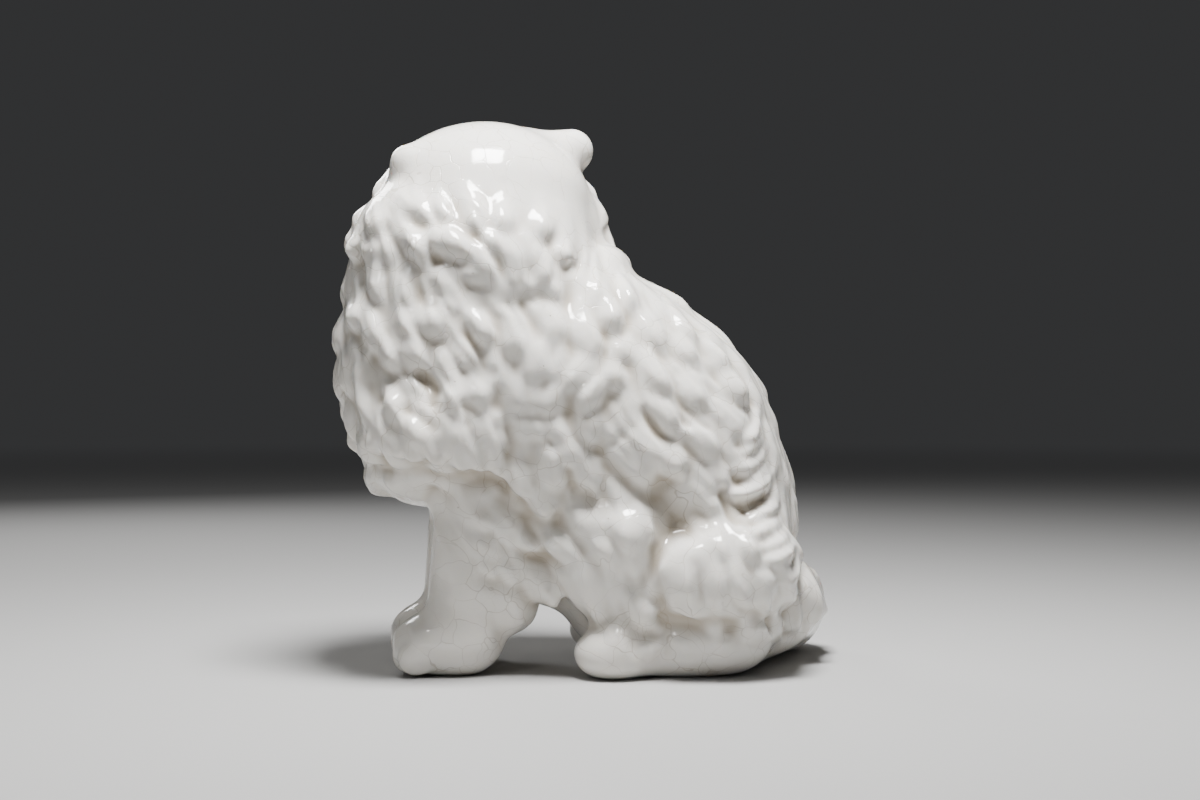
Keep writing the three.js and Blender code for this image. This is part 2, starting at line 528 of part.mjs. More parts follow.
function layTufts(coat, form, side, seed) {
  const { low, high, across, down, length, width, rise, loose, sway } = tufts;
  const lines = Math.ceil((high[1] - low[1]) / down);
  const columns = Math.ceil((high[0] - low[0]) / across);
  for (let m = 0; m < lines * columns; m++) {
    const [line, column] = [Math.floor(m / columns), m % columns];
    const n = m + seed * 1000;
    const stray = (o) => 2 * scatter(n + o) - 1;
    const root = [
      low[0] + across * (column + (line % 2) / 2 + loose * stray(0.1)),
      high[1] - down * (line - loose * stray(0.2)),
    ];
    if ((side < 0 && root[1] > 104) || (root[1] > 127 && root[0] > -46)) continue;
    const steps = 8;
    const pace = (length * (0.75 + 0.5 * scatter(n + 0.3))) / steps;
    const places = [root];
    for (let k = 0; k < steps; k++) {
      const [y, z] = places[k];
      const turn = combedWay([y, z]) + sway * rad * stray(0.4) * Math.cos((Math.PI * k) / steps);
      places.push([y + pace * Math.sin(turn), z - pace * Math.cos(turn)]);
    }
    layTuft(coat, form, places, side, width, (at) => {
      let share = 0.7 + 0.6 * scatter(n + 0.5);
      if (root[0] > -22 && root[1] > 66) share *= ease(9, 24, at.x * side);
      share *= 1 - 0.7 * ease(118, 130, root[1]);
      for (const [y, z, radius, off] of bare)
        share *= 1 - off * (1 - ease(0.6 * radius, 1.2 * radius, Math.hypot(at.y - y, at.z - z)));
      return rise * share;
    });
  }
}

function layTuftRows(coat, form, side) {
  tuftRows.forEach(({ first, last, count, width, rise, dip = 0 }, row) => {
    for (let m = 0; m < count; m++) {
      const share = m / (count - 1);
      const seed = 40 + row * 10 + m;
      const [y0, z0, y1, z1] = first.map((v, i) => {
        const stray = (i < 2 ? 2.4 : 3) * (scatter(seed + 0.1 * (i + 1)) - 0.5);
        return v * (1 - share) + last[i] * share + stray - (i === 3 ? dip * Math.sin(Math.PI * share) : 0);
      });
      const bow = 0.25 * (scatter(seed + 0.5) - 0.3);
      const places = Array.from({ length: 9 }, (_, i) => {
        const [t, out] = [i / 8, bow * Math.sin((Math.PI * i) / 8)];
        return [y0 + (y1 - y0) * t + (z1 - z0) * out, z0 + (z1 - z0) * t + (y0 - y1) * out];
      });
      layTuft(coat, form, places, side, width, () => rise * (0.85 + 0.3 * scatter(seed + 0.6)));
    }
  });
}

function layFringe(coat, form, side) {
  const { count, top, foot, width, rise } = fringe;
  for (let m = 0; m < count; m++) {
    const share = m / (count - 1);
    const root = top.map((v, c) => v * (1 - share) + foot[c] * share);
    const fall = fringe.drop[1] + (fringe.drop[0] - fringe.drop[1]) * (1 - share) ** 2;
    const reach = fringe.reach[0] + (fringe.reach[1] - fringe.reach[0]) * Math.sin(Math.PI * share);
    const places = Array.from({ length: 9 }, (_, i) => {
      const turn = (110 * rad * i) / 8;
      return [root[0] - reach * (1 - Math.cos(turn)), root[1] - fall * Math.sin(turn)];
    });
    layTuft(coat, form, places, side, width, () => rise);
  }
}

// Rings of locks round the tail, combed towards its tip.
function layTail(coat, form) {
  const { rings, locks, arc, length, width, rise } = tailFur;
  for (let i = 0; i < rings; i++) {
    const place = 0.5 + (i / rings) * (tail.length - 1.7);
    const k = Math.floor(place);
    const [a, b] = [vec(...tail[k][0]), vec(...tail[k + 1][0])];
    const middle = a.clone().lerp(b, place - k);
    const way = b.sub(a).normalize();
    const level = vec(0, 0, 1).cross(way).normalize();
    for (let m = 0; m < locks; m++) {
      const luck = scatter(i * 7 + m + 0.3);
      const angle = arc * rad * ((m + 0.5 * luck + 0.5 * (i % 2)) / locks - 0.5);
      const out = vec(0, 0, Math.cos(angle)).addScaledVector(level, Math.sin(angle));
      const root = reachSkin(form, middle, out);
      if (root.z < 3 || root.distanceTo(middle) > 17) continue;
      const curl = tailFur.curl * (luck < 0.5 ? -1 : 1);
      const heading = way.clone().add(vec(0, 0, -0.25));
      layLock(coat, form, root, heading, { length, width, rise, bow: curl, wave: curl * 0.5 });
    }
  }
}

function layFeatures(clay) {
  for (const side of [1, -1]) {
    const [ahead, left, up] = [eye.at[0], eye.at[1] * side, eye.at[2]];
    clay.ball(onHead([ahead + 6, left, up]), Array(3).fill(eye.socket), 1.5, headAxes, true);
    clay.ball(onHead([ahead - eye.sunk, left, up]), Array(3).fill(eye.radius), 1.2);
  }
  for (const side of [1, -1])
    for (const [x, y] of toes) clay.ball([side * (foreleg.foot[0] + x), y, 5], [2.8, 4.9, 4.6], 1.4);
  for (const { base, tip, thick, thin } of ears) {
    clay.limb(onHead(base), onHead(tip), thick, thin, 4);
    clay.ball(onHead([tip[0] + 6, tip[1] * 0.93, tip[2]]), [3.5, 4, 5.5], 1.5, headAxes, true);
  }
}

function modelCat() {
  const box = [[-62, -78, -footDepth], [54, 80, 158]];
  const form = layMasses(new Clay(...box, gridStep));
  const clay = layMasses(new Clay(...box, gridStep));
  const coat = new Coat(clay);
  rows.forEach((row, i) => layRow(coat, form, row, i + 1));
  headRows.forEach((row, i) => layHeadRow(coat, form, row, i + 21));
  layTail(coat, form);
  for (const side of [1, -1]) {
    layTufts(coat, form, side, 3 + side);
    layTuftRows(coat, form, side);
    layFringe(coat, form, side);
  }
  for (const [y0, z0, y1, z1, radius, depth] of hollows)
    coat.press(flankPoint(form, y0, z0, 1), flankPoint(form, y1, z1, 1), radius, depth);
  coat.soften();
  clay.f.forEach((v, i) => { clay.f[i] = v - coat.height[i]; });
  layFeatures(clay);
  return clay.skin();
}

// Trims the foot flat on the table plane and opens the vent.
async function trimFoot(geometry) {
  const wasm = await Module();
  wasm.setup();
  const solidOf = (g) => new wasm.Manifold(new wasm.Mesh({
    numProp: 3,
    vertProperties: new Float32Array(g.attributes.position.array),
    triVerts: new Uint32Array(g.index.array),
  }));
  const place = geometry.attributes.position;
  for (let i = 0; i < place.count; i++) if (Math.abs(place.getZ(i)) < 0.12) place.setZ(i, 0);
  const ground = new THREE.BoxGeometry(200, 200, 40).translate(0, 0, -20);
  const bore = new THREE.CylinderGeometry(vent.radius, vent.radius, vent.depth + 5, 24)
    .rotateX(Math.PI / 2).translate(...vent.at, (vent.depth - 5) / 2);
  const welded = [ground, bore].map((g) => weld(g));
  const cut = welded.reduce((s, g) => s.subtract(solidOf(g)), solidOf(geometry));
  const body = cut.decompose().sort((a, b) => b.volume() - a.volume())[0].getMesh();
  return new THREE.BufferGeometry()
    .setAttribute("position", new THREE.Float32BufferAttribute(body.vertProperties, 3))
    .setIndex(new THREE.BufferAttribute(body.triVerts, 1));
}

function weld(geometry) {
  const bare = new THREE.BufferGeometry()
    .setAttribute("position", geometry.attributes.position)
    .setIndex(geometry.index);
  return mergeVertices(bare, 1e-4);
}

const rough = modelCat();
const share = 1 - (facets * 3) / rough.index.count;
const slim = await new SimplifyModifier().modify(rough, Math.floor(share * rough.attributes.position.count));
const finished = (await trimFoot(slim)).translate(...centring, 0);

const glaze = new THREE.MeshStandardMaterial({ name: "white_glaze", color: 0xf2efe8, roughness: 0.12 });
const cat = new THREE.Mesh(finished, glaze);
cat.name = "cat";
const figurine = new THREE.Group();
figurine.name = "figurine";
figurine.add(cat);
export default figurine;
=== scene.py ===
import math
import bmesh
import bpy
import numpy as np
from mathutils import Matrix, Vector


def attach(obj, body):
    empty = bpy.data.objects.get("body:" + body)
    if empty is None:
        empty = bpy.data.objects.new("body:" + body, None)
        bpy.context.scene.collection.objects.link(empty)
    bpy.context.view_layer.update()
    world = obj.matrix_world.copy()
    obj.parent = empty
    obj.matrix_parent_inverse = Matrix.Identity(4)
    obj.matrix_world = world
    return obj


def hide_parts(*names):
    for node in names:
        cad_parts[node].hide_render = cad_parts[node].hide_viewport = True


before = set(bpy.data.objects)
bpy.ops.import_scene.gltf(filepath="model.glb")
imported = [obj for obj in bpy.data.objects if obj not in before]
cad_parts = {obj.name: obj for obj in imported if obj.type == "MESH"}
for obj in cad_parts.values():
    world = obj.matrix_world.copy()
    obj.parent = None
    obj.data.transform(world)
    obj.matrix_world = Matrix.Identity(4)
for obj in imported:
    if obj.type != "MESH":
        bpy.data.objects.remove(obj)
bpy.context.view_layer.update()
print("frame loaded")

# All modelling below is in millimetres about the body's middle plane; shift moves it into the frame.
shift = np.array([7.37, -2.0, 0.0])

view = {
    "target": (0.0, 4.6, 73.0),
    "azimuth": 82.0,
    "distance": 480.0,
    "lens": 51.93,
}


def placeCamera():
    turn = math.radians(view["azimuth"])
    back = Vector((math.sin(turn), -math.cos(turn), 0.0))
    target = (Vector(view["target"]) + Vector(shift)) / 1000.0
    data = bpy.data.cameras.new("camera")
    data.lens = view["lens"]
    data.sensor_width = 36.0
    data.clip_start = 0.01
    camera = bpy.data.objects.new("camera", data)
    camera.location = target + back * (view["distance"] / 1000.0)
    camera.rotation_euler = (-back).to_track_quat("-Z", "Y").to_euler()
    bpy.context.collection.objects.link(camera)
    bpy.context.scene.camera = camera


placeCamera()


def unit(v):
    return v / np.maximum(np.linalg.norm(v, axis=-1, keepdims=True), 1e-9)


def spin(v, axis, angle):
    angle = np.broadcast_to(angle, v.shape[:1])[:, None]
    return v * np.cos(angle) + np.cross(axis, v) * np.sin(angle)


def scatter(n):  # repeatable luck from 0 to 1, one value for each number
    v = np.sin(np.asarray(n, float) * 12.9898) * 43758.5453
    return v - np.floor(v)


def smooth(low, high, v):  # 0 below low, 1 above high
    t = np.clip((v - low) / (high - low), 0, 1)
    return t * t * (3 - 2 * t)


def blur(field, rounds):  # rounds off grooves and edges, as the glaze does
    for _ in range(rounds):
        for a in range(3):
            f = np.moveaxis(field, a, 0)
            f[1:-1] = 0.25 * f[:-2] + 0.5 * f[1:-1] + 0.25 * f[2:]


class Clay:  # a grid of signed distances, negative inside, that forms are blended into or cut from

    def __init__(self, low, high, step):
        self.low = np.array(low, float)
        self.step = step
        self.count = np.ceil((np.array(high) - self.low) / step).astype(int) + 1
        self.field = np.full(self.count, 50.0, np.float32)  # 50 mm stands for far outside
        rulers = (self.low[a] + step * np.arange(self.count[a]) for a in range(3))
        self.rulers = [ruler.astype(np.float32) for ruler in rulers]

    def window(self, low, high):  # the part of the grid within a box
        a = np.maximum(np.floor((low - self.low) / self.step).astype(int), 0)
        b = np.minimum(np.ceil((high - self.low) / self.step).astype(int) + 1, self.count)
        b = np.maximum(b, a)
        cut = tuple(slice(a[i], b[i]) for i in range(3))
        x, y, z = (self.rulers[i][cut[i]] for i in range(3))
        return cut, x[:, None, None], y[None, :, None], z[None, None, :]

    def blend(self, cut, distance, seam, scoop):
        old = self.field[cut]
        if scoop:
            distance = -distance
        soft = np.maximum(seam - np.abs(old - distance), 0) / seam
        fillet = soft * soft * (seam / 4)
        if scoop:
            self.field[cut] = np.maximum(old, distance) + fillet
        else:
            self.field[cut] = np.minimum(old, distance) - fillet

    def ball(self, at, half, seam, axes=np.eye(3), scoop=False):  # an ellipsoid
        at, half = np.array(at, float), np.array(half, float) * np.ones(3)
        reach = np.sqrt(((axes.T * half) ** 2).sum(1)) + seam + 2 * self.step + 2
        cut, x, y, z = self.window(at - reach, at + reach)
        q = [(x - at[0]) * u[0] + (y - at[1]) * u[1] + (z - at[2]) * u[2] for u in axes]
        near = np.sqrt(sum((q[a] / half[a]) ** 2 for a in range(3)))
        slope = np.sqrt(sum((q[a] / half[a] ** 2) ** 2 for a in range(3)))
        self.blend(cut, near * (near - 1) / np.maximum(slope, 1e-6), seam, scoop)

    def limb(self, a, b, ra, rb, seam, scoop=False):  # a round bar that tapers
        reach = max(ra, rb) + seam + 2 * self.step + 1
        cut, x, y, z = self.window(np.minimum(a, b) - reach, np.maximum(a, b) + reach)
        e = b - a
        u, v, w = x - a[0], y - a[1], z - a[2]
        t = np.clip((u * e[0] + v * e[1] + w * e[2]) / max(float(e @ e), 1e-9), 0, 1)
        away = np.sqrt((u - e[0] * t) ** 2 + (v - e[1] * t) ** 2 + (w - e[2] * t) ** 2)
        self.blend(cut, away - (ra + (rb - ra) * t), seam, scoop)

    def sample(self, p):
        u = (p - self.low) / self.step
        i = np.clip(np.floor(u).astype(int), 0, self.count - 2)
        w = np.clip(u - i, 0, 1)
        total = 0
        for m in range(8):
            d = [m & 1, (m >> 1) & 1, (m >> 2) & 1]
            share = np.prod([w[:, a] if d[a] else 1 - w[:, a] for a in range(3)], axis=0)
            total = total + share * self.field[i[:, 0] + d[0], i[:, 1] + d[1], i[:, 2] + d[2]]
        return total

    def normal(self, p):
        e = np.eye(3) * self.step
        return unit(np.stack([self.sample(p + e[a]) - self.sample(p - e[a]) for a in range(3)], 1))

    def settle(self, p, times=2):  # moves places onto the skin
        for _ in range(times):
            p = p - self.normal(p) * self.sample(p)[:, None]
        return p

    def skin(self):  # one vertex in each cell the skin crosses, one quad across each crossed edge
        f, n = self.field, self.count
        inside = f < 0
        corners = [(m & 1, (m >> 1) & 1, (m >> 2) & 1) for m in range(8)]
        full = np.zeros(n - 1, np.int8)
        for a, b, c in corners:
            full += inside[a:n[0] - 1 + a, b:n[1] - 1 + b, c:n[2] - 1 + c]
        crossed = (full > 0) & (full < 8)
        cells = np.argwhere(crossed)
        index = np.full(crossed.shape, -1, np.int64)
        index[crossed] = np.arange(len(cells))
        values = [f[cells[:, 0] + a, cells[:, 1] + b, cells[:, 2] + c] for a, b, c in corners]
        total, hits = np.zeros((len(cells), 3)), np.zeros(len(cells))
        for a in range(8):
            for bit in (1, 2, 4):
                if a & bit:
                    continue
                fa, fb = values[a], values[a | bit]
                cut = (fa < 0) != (fb < 0)
                t = np.where(cut, fa / np.where(cut, fa - fb, 1), 0)
                way = np.array(corners[a | bit], float) - corners[a]
                total += np.where(cut[:, None], corners[a] + way * t[:, None], 0)
                hits += cut
        points = self.low + self.step * (cells + total / hits[:, None])
        quads = []
        for axis in range(3):
            u, w = (np.eye(3, dtype=int)[(axis + k) % 3] for k in (1, 2))
            near = [slice(1, -1)] * 3
            far = [slice(1, -1)] * 3
            near[axis], far[axis] = slice(0, -1), slice(1, None)
            change = np.argwhere(inside[tuple(near)] != inside[tuple(far)])
            leaving = inside[tuple(near)][tuple(change.T)]
            at = change + 1
            at[:, axis] -= 1
            quad = np.stack([index[tuple((at - s).T)] for s in (u + w, w, 0 * u, u)], 1)
            quad[~leaving] = quad[~leaving][:, ::-1]
            quads.append(quad)
        return points, np.concatenate(quads)


headTurn = {"at": (-3.0, -27.0, 126.2), "yaw": 65.0, "pitch": 6.0, "roll": 4.5}


def turnedHead():  # rows: forward, left, up
    yaw, pitch, roll = (np.radians(headTurn[k]) for k in ("yaw", "pitch", "roll"))
    left = np.array([np.cos(yaw), -np.sin(yaw), 0.0])
    forward = np.array([-np.sin(yaw) * np.cos(pitch), -np.cos(yaw) * np.cos(pitch), np.sin(pitch)])
    up = np.cross(forward, left)
    both = spin(np.array([left, up]), forward[None], -roll)
    return np.array([forward, both[0], both[1]])


headAxes = turnedHead()


def onHead(*q):
    return np.array(headTurn["at"]) + np.array(q, float) @ headAxes


masses = {  # ellipsoids: middle, half sizes, width of the seam they are blended in with
    "trunk": [
        ((0, 24, 36), (32, 35.5, 40), 1), ((0, 14, 60), (34.5, 38.3, 39.3), 10),
        ((0, -7, 78), (34, 38, 36), 10), ((0, -33, 85), (34, 34.8, 38), 8),
        ((0, -43, 56), (22, 17, 12), 7), ((0, -30, 110), (32, 33, 25), 8),
        ((0, -9, 31), (17, 15, 14.5), 6), ((0, 34, 11), (26, 24, 14), 6),
        ((0, 5.5, 110), (12, 7, 6), 4),
    ],
    "paired": [  # a fourth item is how far back the ellipsoid lies on the far side
        ((15, -38, 66.5), (21, 23.5, 15), 5), ((12, -38, 8.4), (10.2, 14.8, 9.2), 4),
        ((13, -19, 42), (12, 17, 20), 6), ((12.5, -22.5, 22), (10, 10, 12), 4),
        ((20, -12, 58), (11.5, 15, 12), 7),
        ((23.5, 31, 28), (17.5, 23, 16.5), 5), ((26.5, 9, 38), (11.5, 8.5, 12), 4),
        ((21, 0, 32), (11, 12.5, 15), 6), ((21, 31, 9.5), (14, 18, 10.5), 4),
        ((22, 11, 17), (9.5, 11, 12), 6), ((21.5, 20, 6.4), (9.6, 15, 7.4), 4),
        ((25, 5, 6.4), (9.8, 10.8, 7.2), 4, 5),
    ],
    "foreleg": ((13, -30, 48), (12, -34.5, 10), 11.5, 9.6),  # top, foot, radius at both
    "tail": [  # places along its middle and the radius there
        ((2, 51.5, 17), 15), ((-16, 58.5, 14), 13.5), ((-34, 50, 12.5), 12.3),
        ((-45, 33, 11.5), 11.3), ((-46, 17, 9.5), 9), ((-43, 7, 7.5), 5.5),
    ],
    "skull": [  # in the head's own axes: ahead, left, up
        ((0, 0, 0), (27, 30, 23.5), 5), ((-1, 24.5, -9), (17, 14.5, 14), 5),
        ((-1, -21.5, -8), (17, 14, 14), 5), ((-12, 0, -10), (16, 22, 18), 5),
        ((23, 0, -9), (8, 13, 9), 3),
        ((20.5, 10.5, 9.8), (5.8, 7.4, 4.4), 4), ((20.5, -10.5, 9.8), (5.8, 7.4, 4.4), 4),
    ],
}


def layMasses(clay):
    for at, half, seam in masses["trunk"]:
        clay.ball(at, half, seam)
    for side in (-1, 1):
        over = np.array([side, 1, 1])
        top, foot, thick, thin = masses["foreleg"]
        clay.limb(np.array(top, float) * over, np.array(foot) * over, thick, thin, 6)
        for at, half, seam, *back in masses["paired"]:
            clay.ball(np.array(at) * over + (0, sum(back) * (side < 0), 0), half, seam)
    tail = masses["tail"]
    for (a, ra), (b, rb) in zip(tail, tail[1:]):
        clay.limb(np.array(a, float), np.array(b, float), ra, rb, 3)
    for at, half, seam in masses["skull"]:
        clay.ball(onHead(*at), half, seam, headAxes)
    return clay


lock = {
    "relief": 1.3,        # scales every lock's rise
    "undercoat": 0.5,     # share of the rows' rise under the flanks' own tufts
    "open": 0.7,          # the same on the chest, the back and the head
    "strandWidth": 2.9,   # mm between the combed strands of a lock
    "strandDepth": 0.6,   # mm
    "notch": 0.14,        # how far the strands part at the tip, as a share of the length
    "drop": 0.62,         # where along a lock the fall to its tip begins
    "bed": 0.30,          # how deep the skin is pressed in round a tip, as a share of the rise
    "bedReach": 1.8,      # mm that the bed reaches round the tip
    "seam": 1.0,          # mm over which one lock melts into the next
    "softRounds": 2,      # blurs that round the locks' edges, before the strands are cut
}


def layLocks(coat, form, roots, heading, length, width, rise, bow, wave, seed):  # S-shaped locks
    steps, count = 6, len(roots)
    length, width, rise, bow, wave = (v * np.ones(count) for v in (length, width, rise, bow, wave))
    p, n = roots, form.normal(roots)
    h = unit(heading - n * (heading * n).sum(1, keepdims=True))
    path = []
    for s in range(steps + 1):
        t = s / steps
        way = spin(h, n, bow * math.cos(math.pi * t) + wave * math.sin(2 * math.pi * t))
        path.append((p, n, way))
        p = form.settle(p + way * (length / steps)[:, None])
        n = form.normal(p)
        h = unit(h - n * (h * n).sum(1, keepdims=True))
    for m in range(count):
        spots = [tuple(q[k][m] for k in range(3)) for q in path]
        luck = scatter(seed + m * 3.7 + np.arange(4))
        coat.comb(spots, length[m], width[m], rise[m] * lock["relief"], luck)


class Coat:  # the height of the fur over the bare form, on the same grid as the clay

    def __init__(self, clay):
        self.clay = clay
        self.height = np.zeros(clay.count, np.float32)
        self.strands = np.zeros(clay.count, np.float32)

    # How far along and beside a path of (place, outward, way) each cell lies.
    def trace(self, spots, reach):
        places = np.array([s[0] for s in spots])
        cut, x, y, z = self.clay.window(places.min(0) - reach, places.max(0) + reach)
        best, along, aside, off = None, 0, 0, 0
        pieces = len(spots) - 1
        for i in range(pieces):
            (a, up, wayA), (b, upB, wayB) = spots[i], spots[i + 1]
            e = b - a
            u, v, w = x - a[0], y - a[1], z - a[2]
            raw = (u * e[0] + v * e[1] + w * e[2]) / float(e @ e)
            t = np.clip(raw, 0 if i else -0.6, 1 if i < pieces - 1 else 1.8)
            side = np.cross(up + upB, wayA + wayB)
            side /= np.linalg.norm(side)
            gap = (u - e[0] * t) ** 2 + (v - e[1] * t) ** 2 + (w - e[2] * t) ** 2
            sway = u * side[0] + v * side[1] + w * side[2] - float(e @ side) * t
            lift = u * up[0] + v * up[1] + w * up[2] - float(e @ up) * t
            if best is None:
                best, along, aside, off = gap, (i + t) / pieces, sway, lift
            else:
                near = gap < best
                best = np.where(near, gap, best)
                along = np.where(near, (i + t) / pieces, along)
                aside = np.where(near, sway, aside)
                off = np.where(near, lift, off)
        return cut, along, aside, np.abs(off) < 7

    # One lock: rises from its root, drops at a pointed tip.
    def comb(self, spots, length, width, rise, luck):
        cut, along, aside, near = self.trace(spots, width / 2 + 4)
        strands = max(2, round(width / lock["strandWidth"]))
        bare = width / 2 * (0.5 + 0.5 * np.sin(np.pi * np.clip(0.08 + 0.82 * along, 0, 1)))
        half = bare * np.sqrt(1 - 0.94 * smooth(0.5, 1.0, along) ** 1.5)
        u = aside / half
        waver = 0.28 * np.sin(2 * np.pi * (along * 1.2 + luck[0]))
        turns = strands * (0.5 + 0.5 * aside / bare) + waver + luck[1]
        groove = 0.5 - 0.5 * np.cos(2 * np.pi * turns)
        t = along * (1 + lock["notch"] * (groove - 0.3) * smooth(0.4, 1, along))
        body = rise * (smooth(-0.05, 0.65, t) * (1 - smooth(lock["drop"], 1.02, t)) - 0.08)
        dome = np.clip(1 - u * u, 0, 1) ** 1.2
        height = body * dome - 0.2 * rise * (1 - dome)
        inside = (np.abs(u) < 1) & (t > -0.05) & (t < 1) & near
        outside = np.maximum(np.maximum(np.abs(aside) - half, 0), np.maximum(t - 0.97, 0) * length)
        outside = np.where(near, outside, 9)
        bed = np.exp(-(outside / lock["bedReach"]) ** 2)
        bed = lock["bed"] * rise * smooth(0.3, 0.85, along) * bed
        old = np.maximum(self.height[cut] - bed, -2.6)
        soft = np.maximum(lock["seam"] - np.abs(old - height), 0) / lock["seam"]
        top = np.maximum(old, height) + soft * soft * (lock["seam"] / 4)
        self.height[cut] = np.where(inside, top, old)
        cover = np.where(inside, smooth(-0.6, 0.6, height - old), 0)
        deep = lock["strandDepth"] * min(1, 0.35 + rise / 4)
        strand = deep * (0.5 - groove) * smooth(0.0, 0.4, t) * dome ** 0.5
        self.strands[cut] += (strand - self.strands[cut]) * cover

    def draw(self, spots, width, rise):  # one strand: a thin ridge with pointed ends
        cut, along, aside, near = self.trace(spots, width / 2 + 1)
        half = width / 2 * np.sqrt(np.clip(4 * along * (1 - along), 1e-4, 1))
        ridge = np.clip(1 - (aside / half) ** 2, 0, 1)
        ridge = ridge * smooth(0, 0.25, along) * smooth(0, 0.3, 1 - along)
        inside = near & (along > 0) & (along < 1)
        height = np.where(inside, rise * (1.5 * ridge - 0.5), -9)
        self.strands[cut] = np.maximum(self.strands[cut], height)

    def press(self, places, radius, depth):  # a soft-edged hollow along a line of places
        far = 3 * radius
        cut, x, y, z = self.clay.window(places.min(0) - far, places.max(0) + far)
        gap = np.inf
        for a, b in zip(places, places[1:]):
            e = b - a
            u, v, w = x - a[0], y - a[1], z - a[2]
            t = np.clip((u * e[0] + v * e[1] + w * e[2]) / max(float(e @ e), 1e-9), 0, 1)
            gap = np.minimum(gap, (u - e[0] * t) ** 2 + (v - e[1] * t) ** 2 + (w - e[2] * t) ** 2)
        self.height[cut] -= (depth * np.exp(-gap / radius ** 2)).astype(np.float32)


# Rings of locks: middle (y, z), tilt, angles from the chest round each flank, count,
# (length, width, rise), curl, sweep towards the rear.
rows = [
    ((26, 17), 10, (70, 165), 9, (12, 8, 1.8), 0.3, 0),
    ((24, 27), 18, (60, 160), 10, (16, 8, 2.4), 0.5, 0),
    ((20, 38), 25, (66, 158), 10, (17, 8.5, 2.4), 0.5, 0),
    ((14, 50), 30, (60, 158), 10, (17, 8, 2.2), 0.5, 0),
    ((7, 61), 32, (60, 160), 10, (17, 8, 2.0), 0.5, 0),
    ((0, 72), 34, (60, 170), 11, (17, 8, 1.8), 0.5, 0),
    ((-6, 84), 36, (60, 175), 11, (17, 8, 1.5), 0.5, 0),
    ((-34, 56), 0, (5, 100), 8, (13, 9, 2.6), 0.4, 0.4),
    ((-32, 68), 0, (8, 115), 8, (18, 9, 2.8), 0.5, 0.7),
    ((-28, 81), 5, (5, 125), 9, (20, 9, 3.0), 0.5, 0.8),
    ((-27, 93), 8, (8, 135), 10, (20, 9, 2.8), 0.5, 0.8),
    ((-26, 104), 8, (6, 150), 10, (18, 8, 2.4), 0.5, 0.8),
    ((-29, 113), 4, (2, 100), 7, (16, 8, 2.2), 0.45, 0.6),
]
underTufts = {"x": 12, "y": (-56, 50), "z": 115}  # where the flanks' own tufts cover the rows

# Rings of locks behind the face: distance ahead, angles down from the crown, count, size, curl.
headRows = [
    (12, (62, 128), 5, (13, 7.5, 2.0), 0.35),
    (1, (70, 128), 5, (15, 8, 2.2), 0.4),
    (-9, (78, 125), 4, (15, 8, 1.8), 0.4),
]


def reachSkin(form, start, ways):  # walks out from inside, up to 70 mm, to the skin
    t = np.zeros(len(ways))
    for _ in range(60):
        depth = form.sample(start + ways * t[:, None])
        t = np.where(depth < 0, np.minimum(t + np.maximum(-0.8 * depth, 0.05), 70), t)
    return form.settle(start + ways * t[:, None])


def flankPoints(form, places, side=1):  # the skin of a flank at places (y, z), met from the side
    places = np.array(places, float)
    x = np.full(len(places), 52.0)
    for _ in range(60):
        away = form.sample(np.column_stack([side * x, places]))
        x = np.where((away > 0.02) & (x > 0), x - np.minimum(0.9 * away, 1.5), x)
    return form.settle(np.column_stack([side * np.maximum(x, 0), places]), 4)


def spread(span, count, seed, side):  # the locks' numbers in a ring and their angles
    start, end = np.radians(span)
    pitch = (end - start) / (count - 1)
    m = np.arange(count)
    i = m + seed * 17 + (0 if side > 0 else 50)
    return i, start + pitch * (m + (scatter(i + 0.7) - 0.5) * 0.5)


def layRow(coat, form, row, seed):
    mid, tilt, span, count, (length, width, rise), curl, sweep = row
    tilt = math.radians(tilt)
    front = np.array([0, -math.cos(tilt), -math.sin(tilt)])
    flow = np.array([0, math.sin(tilt), -math.cos(tilt)])
    (near, far), low = underTufts["y"], 10  # mm above the table that no lock starts under
    for side in (1, -1):
        i, angle = spread(span, count, seed, side)
        ways = front * np.cos(angle)[:, None] + np.outer(side * np.sin(angle), [1, 0, 0])
        roots = reachSkin(form, np.array([0, *mid], float), ways)
        heading = flow + np.outer(sweep * np.clip(angle - 0.3, 0, 1), [0, 1, 0])
        hand = np.where(scatter(i + 0.4) < 0.5, -1, 1)
        x, y, z = np.abs(roots[:, 0]), roots[:, 1], roots[:, 2]
        covered = (x > underTufts["x"]) & (y > near) & (y < far) & (z < underTufts["z"])
        share = np.where(covered, lock["undercoat"], lock["open"])
        size = [
            length * (0.85 + 0.3 * scatter(i + 0.1)),
            width * (0.88 + 0.24 * scatter(i + 0.2)),
            rise * (0.75 + 0.5 * scatter(i + 0.3)) * share * (1 - 0.6 * smooth(2.2, 2.9, angle)),
            curl * hand * (0.5 + 0.7 * scatter(i + 0.5)),
            curl * hand * (0.1 + 0.8 * scatter(i + 0.6)),
        ]
        keep = z >= low
        layLocks(coat, form, roots[keep], heading[keep], *(v[keep] for v in size), seed + side * 0.3)


